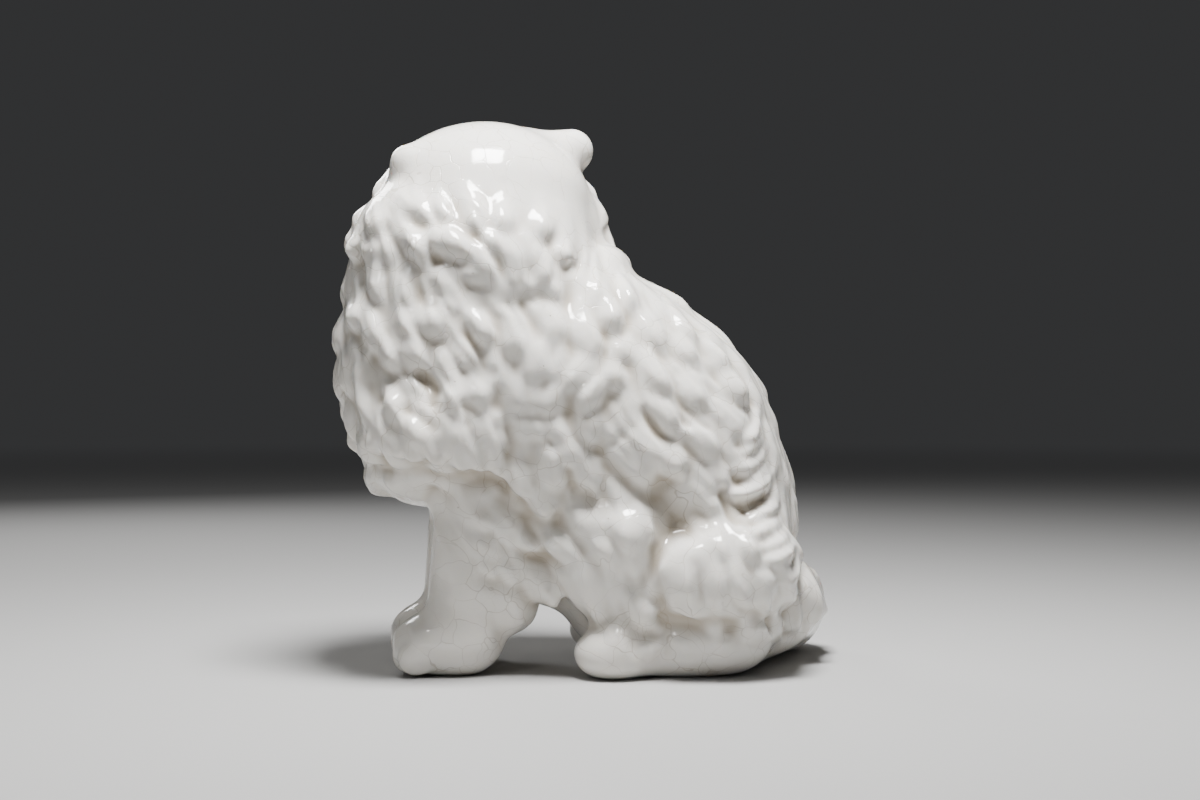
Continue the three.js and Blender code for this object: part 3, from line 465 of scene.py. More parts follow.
def layHeadRow(coat, form, row, seed):
    ahead, span, count, (length, width, rise), curl = row
    forward, left, up = headAxes
    middle, reach = onHead(ahead, 0, -2), 48  # no lock starts further than reach from the middle
    for side in (1, -1):
        i, angle = spread(span, count, seed, side)
        ways = np.outer(np.cos(angle), up) + np.outer(side * np.sin(angle), left)
        roots = reachSkin(form, middle, ways)
        keep = np.linalg.norm(roots - middle, axis=1) <= reach
        heading = np.array([0, 0, -0.9]) - 0.8 * forward + side * 0.2 * left
        hand = np.where(scatter(i + 0.4) < 0.5, -1, 1)
        low = lock["undercoat"] if side > 0 and ahead < 10 else lock["open"]
        bow = curl * hand * (0.5 + 0.7 * scatter(i + 0.5))
        wave = curl * hand * scatter(i + 0.6)
        layLocks(coat, form, roots[keep], heading * np.ones((keep.sum(), 1)), length, width,
                 rise * low, bow[keep], wave[keep], seed + side * 0.3)


# How the fur of a flank lies: place (y, z), degrees from straight down towards the rear.
combing = np.array([
    (-61, 118, 6), (-47, 118, 30), (-36, 121, 34), (-31, 110, 38), (-21, 99, 40), (-49, 105, -3),
    (-43, 96, 30), (-34, 96, 37), (-44, 82, 33), (-56, 79, 23), (-63, 73, 9), (-55, 64, 18),
    (-44, 63, 24), (-34, 63, 20), (-21, 84, 3), (-8, 87, 15), (-2, 80, -45), (-9, 75, -60),
    (-24, 70, 18), (-14, 63, 37), (-18, 55, 37), (-5, 67, 18), (1, 62, 58), (8, 64, 37),
    (14, 70, 30), (20, 57, 37), (23, 78, 37), (23, 67, 60), (29, 84, 41), (35, 70, 49),
    (38, 81, 18), (26, 49, 30), (20, 34, -18), (27, 29, 9), (36, 29, 37), (44, 43, 18),
    (11, 40, 12), (-6, 37, 45), (-23, 43, 45), (4, 51, 30), (35, 13, 70), (20, 13, 78),
    (-35, 30, 31), (-26, 28, 37), (5, 42, 8), (14, 36, 4), (-9, 112, -22), (-14, 122, -5),
    (48, 40, 30), (50, 20, 20),
], float)


def combedWay(places):  # near places count most; a slow ripple runs through them all
    away = ((places[:, None] - combing[None, :, :2]) ** 2).sum(2)
    share = (away + 16) ** -1.5
    ripple = tresses["ripple"] * np.sin(places[:, 1] / 4.5 + places[:, 0] / 9)
    turn = np.radians((share * combing[:, 2]).sum(1) / share.sum(1) + ripple)
    return np.column_stack([np.sin(turn), -np.cos(turn)])


tresses = {
    "tufts": {"across": 9.5, "down": 10, "length": 19, "width": 9.5, "rise": 2.2, "leap": 2.6},
    "strands": {"across": 2.9, "down": 8, "length": 19, "width": 3.2, "rise": 0.5, "leap": 1.7},
    "low": (-68, 12), "high": (54, 132),
    "loose": 0.28,        # how far a root strays from its place in the grid
    "sway": 10,           # degrees a tress strays from the combing
    "ripple": 4,          # degrees all tresses sway together, in waves down the flank
    "steps": 8,
    "edge": 7,            # mm from the middle plane that a tress stays out of
    "foot": 6,            # and from the table
    "farTop": 104,        # mm up, above which the far side has no tresses of its own
    "crown": (-40, 130),  # none start on the crown, behind and above this (y, z)
    "backLine": (9, 24),  # mm from the middle plane over which they fade in on the back,
    "back": (-22, 66),    # which lies behind and above this (y, z)
    "headFade": (120, 136, 0.7),  # they flatten between these heights, by this share
    "bare": [  # where the clay is left smoother: place (y, z), radius, share of the relief taken off
        (20, 36, 11, 0.5), (22, 8, 13, 0.9), (-33, 22, 15, 0.75), (-30, 8, 14, 0.9),
        (-12, 124, 17, 0.8), (19, 45, 7, 1.0), (9, 39, 10, 1.0), (-48, 50, 12, 0.7),
        (-34, 48, 10, 0.6), (-2, 22, 9, 0.5), (2, 8, 12, 1.0), (50, 63, 12, 0.85),
        (53, 46, 12, 0.85),
    ],
}


def layTress(coat, kind, size, path, normals, rise, seed):  # a broad tuft, or one strand
    spots = list(zip(path, normals, unit(np.gradient(path, axis=0))))
    if kind == "tufts":
        length = np.linalg.norm(np.diff(path, axis=0), axis=1).sum()
        coat.comb(spots, length, size["width"], rise * lock["relief"], scatter(seed + np.arange(4)))
    else:
        coat.draw(spots, size["width"] * (0.85 + 0.3 * scatter(seed + 0.6)), rise)


def reliefLeft(y, z):  # the share of a tress's relief that the smoother places leave
    left = 1.0
    for y0, z0, radius, share in tresses["bare"]:
        away = math.hypot(y - y0, z - z0)
        left = left * (1 - share * (1 - smooth(0.6 * radius, 1.2 * radius, away)))
    return left


# A staggered grid of tresses over one flank, each led along the combing.
def layTresses(coat, form, kind, side, seed):
    size, loose = tresses[kind], tresses["loose"]
    (y0, z0), (y1, z1) = tresses["low"], tresses["high"]
    down, across = np.arange(z1, z0, -size["down"]), np.arange(y0, y1, size["across"])
    z, y = (v.ravel() for v in np.meshgrid(down, across, indexing="ij"))
    y = y + size["across"] * 0.5 * (np.arange(len(down)) % 2).repeat(len(across))
    n = np.arange(len(y)) + seed * 1000
    y = y + size["across"] * loose * (2 * scatter(n + 0.1) - 1)
    z = z + size["down"] * loose * (2 * scatter(n + 0.2) - 1)
    length = size["length"] * (0.75 + 0.5 * scatter(n + 0.3))
    stray = np.radians(tresses["sway"]) * (2 * scatter(n + 0.4) - 1)
    steps = tresses["steps"]
    places = [np.column_stack([y, z])]
    for k in range(steps):
        way = combedWay(places[-1])
        turn = stray * math.cos(math.pi * k / steps)
        way = np.column_stack([way[:, 0] * np.cos(turn) + way[:, 1] * np.sin(turn),
                               way[:, 1] * np.cos(turn) - way[:, 0] * np.sin(turn)])
        places.append(places[-1] + way * (length / steps)[:, None])
    flat = np.stack(places, 1)
    spots = flankPoints(form, flat.reshape(-1, 2), side)
    off = np.abs(spots[:, 1:] - flat.reshape(-1, 2)).sum(1).reshape(-1, steps + 1)
    normals = form.normal(spots).reshape(-1, steps + 1, 3)
    spots = spots.reshape(-1, steps + 1, 3)
    onFlank = (spots[:, :, 0] * side > tresses["edge"]) & (spots[:, :, 2] > tresses["foot"])
    good = (off < size["leap"]) & onFlank  # a tress ends where its path would leap to another form
    (crownY, crownZ), (backY, backZ) = tresses["crown"], tresses["back"]
    fadeLow, fadeHigh, fadeShare = tresses["headFade"]
    for m in range(len(y)):
        start = np.argmax(good[m])
        run = slice(start, start + np.argmin(np.append(good[m, start:], False)))
        path = spots[m, run]
        if len(path) < 4:
            continue
        _, rootY, rootZ = path[0]
        if side < 0 and rootZ > tresses["farTop"] or rootZ > crownZ and rootY > crownY:
            continue
        left = 1.0
        if rootY > backY and rootZ > backZ:
            left = smooth(*tresses["backLine"], (path[:, 0] * side).mean())
        left = left * (1 - fadeShare * smooth(fadeLow, fadeHigh, rootZ))
        left = left * reliefLeft(*path[len(path) // 2, 1:])
        rise = size["rise"] * (0.7 + 0.6 * scatter(n[m] + 0.5)) * left
        layTress(coat, kind, size, path, normals[m, run], rise, n[m])


back = {  # tresses down the back, between the two flanks
    "tufts": {"across": 10, "down": 11, "length": 20, "width": 10, "rise": 1.0},
    "strands": {"across": 3.0, "down": 8.5, "length": 18, "width": 3.2, "rise": 0.45},
    "axis": (2, 52),    # (y, z) of the level line that their places turn about
    "radius": 48,       # mm from there to the skin, about
    "span": (78, -18),  # degrees above the horizontal, from the neck to the tail
    "half": 30,         # mm they reach to each side
    "fade": (18, 32),   # mm from the middle plane over which they flatten
    "steps": 7,
    "foot": 26,         # mm up that they end above
}


def layBack(coat, form, kind, seed):
    size, loose = back[kind], tresses["loose"]
    first, last = np.radians(back["span"])
    pitch = size["down"] / back["radius"]
    down = np.arange(first, last, -pitch)
    across = np.arange(-back["half"], back["half"] + 1, size["across"])
    angle, x = (v.ravel() for v in np.meshgrid(down, across, indexing="ij"))
    x = x + size["across"] * 0.5 * (np.arange(len(down)) % 2).repeat(len(across))
    n = np.arange(len(x)) + seed * 1000
    x = x + size["across"] * loose * (2 * scatter(n + 0.1) - 1)
    angle = angle + pitch * loose * (2 * scatter(n + 0.2) - 1)
    steps = back["steps"]
    t = np.arange(steps + 1) / steps
    arc = size["length"] * (0.75 + 0.5 * scatter(n + 0.3)) / back["radius"]
    turn = angle[:, None] - arc[:, None] * t
    out = x[:, None] * (1 + 0.1 * t) + 1.5 * (2 * scatter(n + 0.4) - 1)[:, None] * np.sin(np.pi * t)
    starts = np.stack([out, *(np.full_like(out, c) for c in back["axis"])], -1).reshape(-1, 3)
    ways = np.stack([0 * turn, np.cos(turn), np.sin(turn)], -1).reshape(-1, 3)
    spots = reachSkin(form, starts, ways)
    normals = form.normal(spots).reshape(-1, steps + 1, 3)
    spots = spots.reshape(-1, steps + 1, 3)
    for m in np.flatnonzero(spots[:, -1, 2] > back["foot"]):
        left = 1 - 0.8 * smooth(*back["fade"], abs(x[m]))
        rise = size["rise"] * (0.7 + 0.6 * scatter(n[m] + 0.5)) * left
        layTress(coat, kind, size, spots[m], normals[m], rise, n[m])


# Tufts that stand out, in rows: root and tip (y, z) of the first and of the last, count,
# (width, rise), and how far the tips between sag.
tuftRows = {
    "cape": (((-41, 125), (-31, 108)), ((-5, 114), (-10, 107)), 5, (9, 2.0), 11),
    "ruff hem": (((-64, 68), (-61, 57)), ((-31, 66), (-22, 52)), 8, (6, 2.8), 0),
    "haunch hem": (((14, 36), (12, 17)), ((40, 34), (46, 16)), 7, (6, 1.8), 0),
    "knee": (((4, 48), (7, 31)), ((11, 48), (14, 32)), 2, (7, 1.4), 0),
    "temple": (((-52, 132), (-45, 117)), ((-37, 130), (-29, 116)), 4, (6, 1.9), 0),
    "nape": (((-33, 129), (-29, 114)), ((-15, 127), (-17, 113)), 3, (9, 1.6), 0),
    "flank": (((-26, 74), (-18, 60)), ((-14, 73), (-6, 60)), 3, (7, 1.8), 0),
    "foreleg": (((-34, 46), (-28, 38)), ((-14, 40), (-5, 31)), 4, (5, 2.2), 0),
    "wrist": (((-32, 33), (-27, 26)), ((-20, 29), (-13, 22)), 3, (4.5, 1.8), 0),
    "hock": (((22, 17), (36, 13)), ((44, 17), (54, 12)), 3, (5, 1.6), 0),
    "tail root": (((50, 32), (50, 12)), ((61, 27), (63, 8)), 4, (4.6, 1.8), 0),
}
fringe = {  # locks that leave the back line and curl forward round the rear of the left flank
    "count": 11,
    "top": (44.5, 74), "foot": (55, 34),  # (y, z) of the first root and of the last
    "drop": (12, 8),      # mm that the first and the last lock fall
    "reach": (8, 12),     # mm that they reach forward, at the ends of the row and in its middle
    "turn": 110,          # degrees that a lock curls through
    "size": (4.4, 2.3),
}
hollows = [  # pressed in between the locks: ends (y, z), radius, depth
    (-38, 122, -22, 103, 1.5, 1.6), (-50, 106, -35, 84, 1.3, 1.3), (-34, 90, -29, 79, 1.8, 1.7),
    (-46, 79, -36, 71, 1.8, 1.9), (-55, 73, -43, 66, 1.6, 1.6), (-15, 64, -7, 54, 1.2, 1.5),
    (-1, 59, 6, 64, 1.2, 1.4), (11, 70, 15, 64, 1.3, 1.5), (18, 68, 28, 65, 1.2, 1.6),
    (22, 61, 30, 52, 1.1, 1.1), (16, 48, 21, 42, 5.2, 4.4), (32, 49, 36, 41, 1.8, 2.0),
    (2, 56, 11, 48, 1.5, 1.2), (15, 42, 12, 22, 1.8, 2.0), (16, 16, 44, 14, 2.4, 1.8),
    (-58, 56, -26, 51, 2.2, 1.6),
]


def layTuft(coat, form, places, width, rise, side, seed):
    spots = flankPoints(form, places, side)
    length = np.linalg.norm(np.diff(spots, axis=0), axis=1).sum()
    path = list(zip(spots, form.normal(spots), unit(np.gradient(spots, axis=0))))
    coat.comb(path, length, width, rise * lock["relief"], scatter(seed * 3.7 + np.arange(4)))


def layTufts(coat, form, side):
    t = np.linspace(0, 1, 9)[:, None]
    for row, (first, last, count, (width, rise), sag) in enumerate(tuftRows.values()):
        for m in range(count):
            share = m / (count - 1)
            root, tip = np.array(first) * (1 - share) + np.array(last) * share
            tip[1] -= sag * math.sin(math.pi * share)
            seed = 40 + row * 10 + m
            root = root + 2.4 * (scatter(seed + np.array([0.1, 0.2])) - 0.5)
            tip = tip + 3.0 * (scatter(seed + np.array([0.3, 0.4])) - 0.5)
            aside = np.array([tip[1] - root[1], root[0] - tip[0]])
            bow = aside * 0.25 * (scatter(seed + 0.5) - 0.3)
            places = root + (tip - root) * t + bow * np.sin(np.pi * t)
            layTuft(coat, form, places, width, rise * (0.85 + 0.3 * scatter(seed + 0.6)), side, seed)


def layFringe(coat, form):
    t = np.linspace(0, 1, 9)[:, None]
    (dropTop, dropFoot), (reachEnd, reachMiddle) = fringe["drop"], fringe["reach"]
    (width, rise), turn = fringe["size"], t * math.radians(fringe["turn"])
    for m in range(fringe["count"]):
        share = m / (fringe["count"] - 1)
        luck = scatter(120.3 + m + np.array([0.1, 0.2, 0.3]))
        share = np.clip(share + 0.06 * (luck[0] - 0.5), 0, 1)
        root = np.array(fringe["top"]) * (1 - share) + np.array(fringe["foot"]) * share
        drop = dropFoot + (dropTop - dropFoot) * (1 - share) ** 2
        reach = reachEnd + (reachMiddle - reachEnd) * math.sin(math.pi * share)
        reach *= 0.75 + 0.5 * luck[1]
        places = root - np.hstack([reach * (1 - np.cos(turn)), drop * np.sin(turn)])
        wide, high = width * (0.9 + 0.3 * luck[1]), rise * (0.65 + 0.6 * luck[2])
        layTuft(coat, form, places, wide, high, 1, 120 + m)


def pressHollows(coat, form):
    for y0, z0, y1, z1, radius, depth in hollows:
        count = 2 + int(math.hypot(y1 - y0, z1 - z0) / 12)  # a place every 12 mm or less
        places = np.linspace((y0, z0), (y1, z1), count)
        coat.press(flankPoints(form, places), radius, depth)


tailFur = {
    "rings": 8, "locks": 6,
    "arc": 230,           # degrees over the top of the tail that the locks spread over
    "size": (13, 7, 1.1), "curl": 0.5,
    "foot": 3,            # mm up that they start above
    "reach": 17,          # mm from the tail's middle that they start within
}


def layTail(coat, form):  # rings of locks combed towards the tail's tip
    bones = [np.array(at, float) for at, _ in masses["tail"]]
    for i in range(tailFur["rings"]):
        place = 0.5 + i / tailFur["rings"] * (len(bones) - 1.7)
        k = int(place)
        middle = bones[k] + (bones[k + 1] - bones[k]) * (place - k)
        way = unit(bones[k + 1] - bones[k])
        level = unit(np.cross([0, 0, 1], way))
        m = np.arange(tailFur["locks"])
        luck = scatter(i * 7 + m + 0.3)
        share = (m + 0.5 * luck + 0.5 * (i % 2)) / tailFur["locks"] - 0.5
        angle = math.radians(tailFur["arc"]) * share
        ways = np.outer(np.cos(angle), [0, 0, 1]) + np.outer(np.sin(angle), level)
        roots = reachSkin(form, middle, ways)
        near = np.linalg.norm(roots - middle, axis=1) <= tailFur["reach"]
        keep = (roots[:, 2] >= tailFur["foot"]) & near
        curl = tailFur["curl"] * np.where(luck < 0.5, -1, 1)[keep]
        heading = (way + np.array([0, 0, -0.25])) * np.ones((keep.sum(), 1))
        layLocks(coat, form, roots[keep], heading, *tailFur["size"], curl, curl * 0.5, 90 + i)


face = {  # in the head's own axes: ahead, left, up
    "eye": (22.4, 11.6, 2.6), "eyeRadius": 5.8, "socket": (6.8, 7.2, 6.0), "ahead": 6.2,
    "opening": (5.0, 3.8),  # half the width and height between the lids
    "lids": [((-95, 95), 1.0), ((105, 255), 0.65)],  # degrees from straight up, thickness
    "pads": ((27.6, 4.5, -8.4), (5.6, 5.4, 4.6)),
    "chin": ((25.2, 0, -15.4), (5.4, 5.6, 3.8)),
    "nose": [((30.2, 0, -1.7), (3.0, 3.6, 2.0)), ((30.2, 0, -3.6), (2.6, 1.9, 2.0))],
    "nostril": ((33.1, 1.8, -2.5), (1.2, 1.0, 0.7)),
    "bridge": ((23, 0, 6.5), (27.4, 0, -0.8), 4.6, 3.0),
    "mouth": ((33.4, 0, -10.6), (30.0, 6.5, -13.2), 0.9, 0.6),
    "cleft": ((33.4, 0, -5.2), (34.0, 0, -10.2), 0.8, 1.0),  # under the nose
    "ears": [  # inner end, tip, thickness at both
        ((-1, -15, 13), (-1.5, -27.3, 15.4), 8, 6.2), ((-1, 12, 11), (-1, 24, 12.5), 8.5, 4.6),
    ],
    "earCup": (0.66, 0.72, 0.9),  # half sizes, as a share of the tip's thickness
    "toes": [(-6, -46.7), (-2.1, -48), (2.1, -48), (6, -46.7)],  # (x, y) about the foreleg's line
    "toeSize": (2.8, 4.9, 4.6),
}


def layEye(clay, side):
    x, y, z = face["eye"]
    wide, high = face["opening"]
    radius = face["eyeRadius"]
    clay.ball(onHead(x + face["ahead"], y * side, z), face["socket"], 2.0, headAxes, True)
    clay.ball(onHead(x, y * side, z), radius, 0.8)
    for span, thick in face["lids"]:
        spots = []
        for turn in np.radians(np.linspace(*span, 9)):
            across, up = wide * math.sin(turn), high * math.cos(turn)
            out = math.sqrt(radius ** 2 - across ** 2 - up ** 2) - 0.15
            spots.append(onHead(x + out, y * side + across, z + up))
        for a, b in zip(spots, spots[1:]):
            clay.limb(a, b, thick, thick, 0.4)


def layFeatures(clay):
    top, end, thick, thin = face["bridge"]
    clay.limb(onHead(*top), onHead(*end), thick, thin, 3.0)
    for side in (1, -1):
        layEye(clay, side)
        (x, y, z), half = face["pads"]
        clay.ball(onHead(x, y * side, z), half, 0.9, headAxes)
    clay.ball(onHead(*face["chin"][0]), face["chin"][1], 1.0, headAxes)
    for at, half in face["nose"]:
        clay.ball(onHead(*at), half, 0.9, headAxes)
    for side in (1, -1):
        (x, y, z), half = face["nostril"]
        clay.ball(onHead(x, y * side, z), half, 0.4, headAxes, True)
        middle, (x, y, z), thick, thin = face["mouth"]
        clay.limb(onHead(*middle), onHead(x, y * side, z), thick, thin, 0.5, True)
    top, end, thin, thick = face["cleft"]
    clay.limb(onHead(*top), onHead(*end), thin, thick, 0.6, True)
    for side in (1, -1):
        for x, y in face["toes"]:
            clay.ball((side * (12 + x), y, 5), face["toeSize"], 1.4)
    for base, tip, thick, thin in face["ears"]:
        clay.limb(onHead(*base), onHead(*tip), thick, thin, 4)
        cup = np.array(face["earCup"]) * thin
        clay.ball(onHead(tip[0] + 1.32 * thin, tip[1] * 0.98, tip[2]), cup, 1.8, headAxes, True)


cast = {
    "low": (-62, -78, -8), "high": (54, 80, 158),  # the grids' corners
    "formStep": 1.6,      # mm between the points of the grid that the fur is laid out on
    "step": 0.68,         # of the grid that is cast
    "quickStep": 1.2,
    "glazeRounds": 1,     # blurs over the finished clay
    "footEdge": 0.9,      # mm that the wiped foot's edge is rounded over
    "vent": ((0, 32, -6), (0, 32, 7), 3.5),  # ends and radius
    "faces": 190000,
}


def castCat():
    form = layMasses(Clay(cast["low"], cast["high"], cast["formStep"]))
    step = cast["step"]
    clay = layMasses(Clay(cast["low"], cast["high"], step))
    coat = Coat(clay)
    for i, row in enumerate(rows):
        layRow(coat, form, row, i + 1)
    for i, row in enumerate(headRows):
        layHeadRow(coat, form, row, i + 21)
    layTail(coat, form)
    print("fur laid in rows")
    layBack(coat, form, "tufts", 15)
    for side in (1, -1):
        layTresses(coat, form, "tufts", side, 3 + side)
        layTufts(coat, form, side)
        if side > 0:
            layFringe(coat, form)
    pressHollows(coat, form)
    for side in (1, -1):
        layTresses(coat, form, "strands", side, 8 + side)
    layBack(coat, form, "strands", 16)
    print("tufts and strands laid")
    blur(coat.height, lock["softRounds"])
    clay.field -= coat.height + coat.strands
    layFeatures(clay)
    blur(clay.field, cast["glazeRounds"])
    height = clay.rulers[2][None, None, :] + 0 * clay.field
    clay.blend((slice(None),) * 3, height, cast["footEdge"], True)
    a, b, radius = cast["vent"]
    clay.limb(np.array(a, float), np.array(b, float), radius, radius, 0.5, True)
    points, quads = clay.skin()
    print("clay modelled:", len(quads), "quads")
    return clay, points, quads


def meshObject(name, points, faces):
    mesh = bpy.data.meshes.new(name)
    mesh.from_pydata(points.tolist(), [], faces.tolist())
    mesh.update()
    piece = bpy.data.objects.new(name, mesh)
    bpy.context.collection.objects.link(piece)
    return piece


def bakeModifiers(piece):
    depsgraph = bpy.context.evaluated_depsgraph_get()
    mesh = bpy.data.meshes.new_from_object(piece.evaluated_get(depsgraph))
    old, piece.data = piece.data, mesh
    piece.modifiers.clear()
    bpy.data.meshes.remove(old)
    return mesh


hollowShadeAndFoot = {
    "rounds": 6,         # blurs of the clay that the finished skin is measured against
    "deep": 0.9,         # mm under it where the painted shade in the hollows, with its pooled glaze tint, is full
    "foot": (0.1, 0.5),  # mm up between which the glaze was wiped off the foot
}


def storeRelief(clay, mesh):  # how deep each point lies among the locks, and where the foot is bare
    points = np.empty(len(mesh.vertices) * 3)
    mesh.vertices.foreach_get("co", points)
    points = points.reshape(-1, 3) * 1000 - shift
    coarse = Clay(clay.low, clay.low + (clay.count - 1) * clay.step, clay.step * 2)
    part = clay.field[::2, ::2, ::2]
    coarse.field[:part.shape[0], :part.shape[1], :part.shape[2]] = np.clip(part, -6, 6)
    blur(coarse.field, hollowShadeAndFoot["rounds"])
    low, high = hollowShadeAndFoot["foot"]
    # the depth among the locks, which the glaze turns into painted shade
    hollow = np.clip(-coarse.sample(points) / hollowShadeAndFoot["deep"], 0, 1)
    foot = np.clip((high - points[:, 2]) / (high - low), 0, 1)
    for name, values in (("hollow", hollow), ("foot", foot)):
        mesh.attributes.new(name, "FLOAT", "POINT").data.foreach_set("value", values.astype(np.float32))


def closePinches(mesh):  # a few edges with four faces, under 0.1 mm, are left where two folds just touch
    work = bmesh.new()
    work.from_mesh(mesh)
    pinches = [edge for edge in work.edges if len(edge.link_faces) > 2]
    bmesh.ops.collapse(work, edges=pinches)
    work.to_mesh(mesh)
    work.free()


def makeCat():
    clay, points, quads = castCat()
    cat = meshObject("glazedCat", (points + shift) / 1000, quads)
    triangles = 2 * len(quads)
    if triangles > cast["faces"]:
        thin = cat.modifiers.new("thin", "DECIMATE")
        thin.ratio = cast["faces"] / triangles
        closePinches(bakeModifiers(cat))
    mesh = cat.data
    mesh.polygons.foreach_set("use_smooth", np.ones(len(mesh.polygons), bool))
    storeRelief(clay, mesh)
    print("cat made:", len(mesh.polygons), "faces")
    return cat


class Wire:  # a socket that shader maths can be written with

    def __init__(self, tree, socket):
        self.tree, self.socket = tree, socket

    def maths(self, operation, a, b):
        return self.tree.add("ShaderNodeMath", {"operation": operation}, {0: a, 1: b})

    def __add__(self, other):
        return self.maths("ADD", self, other)

    def __radd__(self, other):
        return self.maths("ADD", other, self)

    def __sub__(self, other):
        return self.maths("SUBTRACT", self, other)

    def __rsub__(self, other):
        return self.maths("SUBTRACT", other, self)

    def __mul__(self, other):
        return self.maths("MULTIPLY", self, other)

    def __rmul__(self, other):
        return self.maths("MULTIPLY", other, self)

    def __truediv__(self, other):
        return self.maths("DIVIDE", self, other)

    def __rtruediv__(self, other):
        return self.maths("DIVIDE", other, self)

    def __pow__(self, other):
        return self.maths("POWER", self, other)


class Shader:  # builds one material

    def __init__(self, name):
        self.material = bpy.data.materials.new(name)
        self.material.use_nodes = True
        self.nodes = self.material.node_tree.nodes
        self.links = self.material.node_tree.links
        self.surface = self.nodes["Principled BSDF"]

    def add(self, kind, settings=None, inputs=None, output=0):
        node = self.nodes.new(kind)
        for key, value in (settings or {}).items():
            setattr(node, key, value)
        for key, value in (inputs or {}).items():
            self.join(value, node.inputs[key])
        return Wire(self, node.outputs[output])

    def join(self, value, socket):
        if isinstance(value, Wire):
            self.links.new(value.socket, socket)
        else:
            socket.default_value = value

    def finish(self, inputs):
        for key, value in inputs.items():
            self.join(value, self.surface.inputs[key])
        return self.material

    def blend(self, share, a, b):  # of colours
        return self.add("ShaderNodeMix", {"data_type": "RGBA"}, {0: share, 6: a, 7: b}, 2)

    def ease(self, value, low, high):  # 0 below low, 1 above high
        settings = {"interpolation_type": "SMOOTHSTEP"}
        return self.add("ShaderNodeMapRange", settings, {0: value, 1: low, 2: high, 3: 0.0, 4: 1.0})

    def noise(self, place, scale, detail, output=0):
        inputs = {"Vector": place, "Scale": scale, "Detail": detail}
        return self.add("ShaderNodeTexNoise", inputs=inputs, output=output)

    def attribute(self, name):
        return self.add("ShaderNodeAttribute", {"attribute_name": name}, output=2)


glaze = {
    "white": (0.80, 0.775, 0.725, 1),
    "cream": (0.76, 0.72, 0.65, 1),     # in slow clouds over the white
    "shadeAndPooledGlaze": (0.42, 0.36, 0.28, 1),    # painted shade in the hollows between the locks, with the warm tint of pooled glaze
    "bisque": (0.66, 0.56, 0.43, 1),    # the bare foot
    "crackTint": (0.30, 0.24, 0.17, 1),
    "cloudShare": 0.35, "shadeAndPooledGlazeShare": 0.85, "crackShare": 0.45, "pitShare": 0.6,
    "crackCell": 7.0,       # mm across a cell of the crazing
    "crackWidth": 0.13,     # mm
    "crackDepth": 0.05,
    "crackSway": 9.0,       # mm that the cells are bent out of true
    "fineCells": 2.1,       # how many times finer the second crazing is
    "pitScale": 0.11,       # pits to the mm
    "pitDepth": 0.1,
    "gloss": 0.07,
    "ripple": 0.02,
}


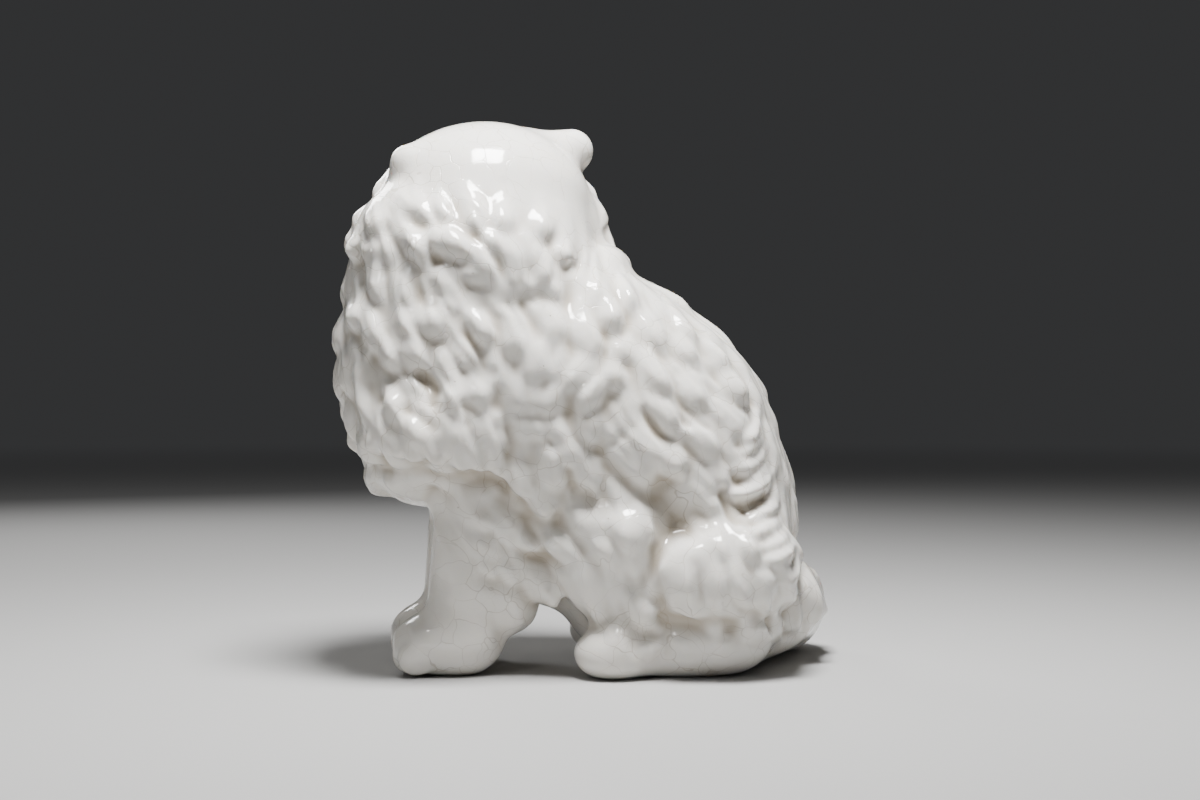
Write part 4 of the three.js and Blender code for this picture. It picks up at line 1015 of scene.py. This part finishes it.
def glazeMaterial():
    shader = Shader("whiteGlaze")
    place = shader.add("ShaderNodeTexCoord", output=3)
    mm = shader.add("ShaderNodeVectorMath", {"operation": "SCALE"}, {0: place, 3: 1000.0})
    hollow, foot = shader.attribute("hollow"), shader.attribute("foot")
    sway = shader.noise(mm, 0.09, 2.0, 1)
    drift = shader.add("ShaderNodeVectorMath", {"operation": "SCALE"}, {0: sway, 3: glaze["crackSway"]})
    bent = shader.add("ShaderNodeVectorMath", {"operation": "ADD"}, {0: mm, 1: drift})

    def cracks(scale, width):
        edge = shader.add("ShaderNodeTexVoronoi", {"feature": "DISTANCE_TO_EDGE"},
                          {"Vector": bent, "Scale": scale, "Randomness": 1.0})
        return 1 - shader.ease(edge / scale, 0.25 * width, width)

    scale, width = 1 / glaze["crackCell"], glaze["crackWidth"]
    patch = shader.noise(mm, 0.06, 2.0)
    main = cracks(scale, width) * shader.ease(patch, 0.30, 0.62)
    fine = cracks(scale * glaze["fineCells"], width * 0.7) * shader.ease(patch, 0.52, 0.72)
    crack = shader.add("ShaderNodeMath", {"operation": "MAXIMUM"}, {0: main, 1: fine * 0.6})
    cloud = shader.ease(shader.noise(mm, 0.035, 3.0), 0.3, 0.75)
    scale = glaze["pitScale"]
    pits = shader.add("ShaderNodeTexVoronoi", {"feature": "F1"}, {"Vector": mm, "Scale": scale})
    pit = 1 - shader.ease(pits / scale, 0.12, 0.3)
    body = shader.blend(cloud * glaze["cloudShare"], glaze["white"], glaze["cream"])
    # painted shade: the hollows between the locks are darkened, with the warm tint of pooled glaze
    body = shader.blend(hollow ** 1.2 * glaze["shadeAndPooledGlazeShare"], body, glaze["shadeAndPooledGlaze"])
    body = shader.blend(crack * glaze["crackShare"], body, glaze["crackTint"])
    body = shader.blend(pit * glaze["pitShare"], body, glaze["crackTint"])
    body = shader.blend(foot, body, glaze["bisque"])
    skin = shader.noise(mm, 0.6, 2.0)
    rough = glaze["gloss"] + crack * 0.2 + skin * 0.04 + foot * 0.5
    relief = skin * glaze["ripple"] - crack * glaze["crackDepth"] - pit * glaze["pitDepth"]
    bump = shader.add("ShaderNodeBump", inputs={"Height": relief, "Distance": 0.001, "Strength": 0.8})
    return shader.finish({
        "Base Color": body, "Roughness": rough, "Normal": bump, "IOR": 1.52,
        "Subsurface Weight": 0.12, "Subsurface Radius": (1.0, 0.75, 0.5), "Subsurface Scale": 0.0025,
    })


cat = makeCat()
cat.data.materials.append(glazeMaterial())
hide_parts("cat")
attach(cat, "root")
print("cat glazed")

studio = {
    "floor": (0.42, 0.416, 0.41, 1),
    "floorSize": 30.0,     # metres from its middle to its edge
    "air": (0.62, 0.63, 0.65, 1),
    "airStrength": 0.06,
    "haze": (0.5, 2.6),  # metres over which the floor fades into the air
    "lamps": [  # name, place in metres, size, watts
        ("overhead", (0.10, 0.0, 0.42), 0.12, 5.5),
        ("window", (0.55, -0.45, 0.50), 0.10, 0.5),
        ("far side", (-0.55, -0.25, 0.45), 0.22, 2.0),
    ],
    "aim": (0, 0, 0.06),   # where they point
}


def layStudio():
    size = studio["floorSize"]
    corners = np.array([(-size, -size, 0), (size, -size, 0), (size, size, 0), (-size, size, 0)])
    floor = meshObject("floor", corners, np.array([[0, 1, 2, 3]]))
    shader = Shader("paleFloor")
    place = shader.add("ShaderNodeTexCoord", output=3)
    away = shader.add("ShaderNodeVectorMath", {"operation": "LENGTH"}, {0: place}, 1)
    haze = shader.ease(away, *studio["haze"])
    black = (0, 0, 0, 1)
    air = tuple(studio["airStrength"] * c for c in studio["air"][:3]) + (1,)
    floor.data.materials.append(shader.finish({
        "Base Color": shader.blend(haze, studio["floor"], black), "Specular IOR Level": 0.0,
        "Emission Color": shader.blend(haze, black, air), "Emission Strength": 1.0,
    }))
    world = bpy.data.worlds.new("air")
    world.use_nodes = True
    background = world.node_tree.nodes["Background"]
    background.inputs["Color"].default_value = studio["air"]
    background.inputs["Strength"].default_value = studio["airStrength"]
    bpy.context.scene.world = world
    for name, place, width, watts in studio["lamps"]:
        data = bpy.data.lights.new(name, "AREA")
        data.shape, data.size, data.energy = "SQUARE", width, watts
        lamp = bpy.data.objects.new(name, data)
        lamp.location = place
        way = Vector(studio["aim"]) - Vector(place)
        lamp.rotation_euler = way.to_track_quat("-Z", "Y").to_euler()
        bpy.context.collection.objects.link(lamp)


layStudio()
print("studio lit")
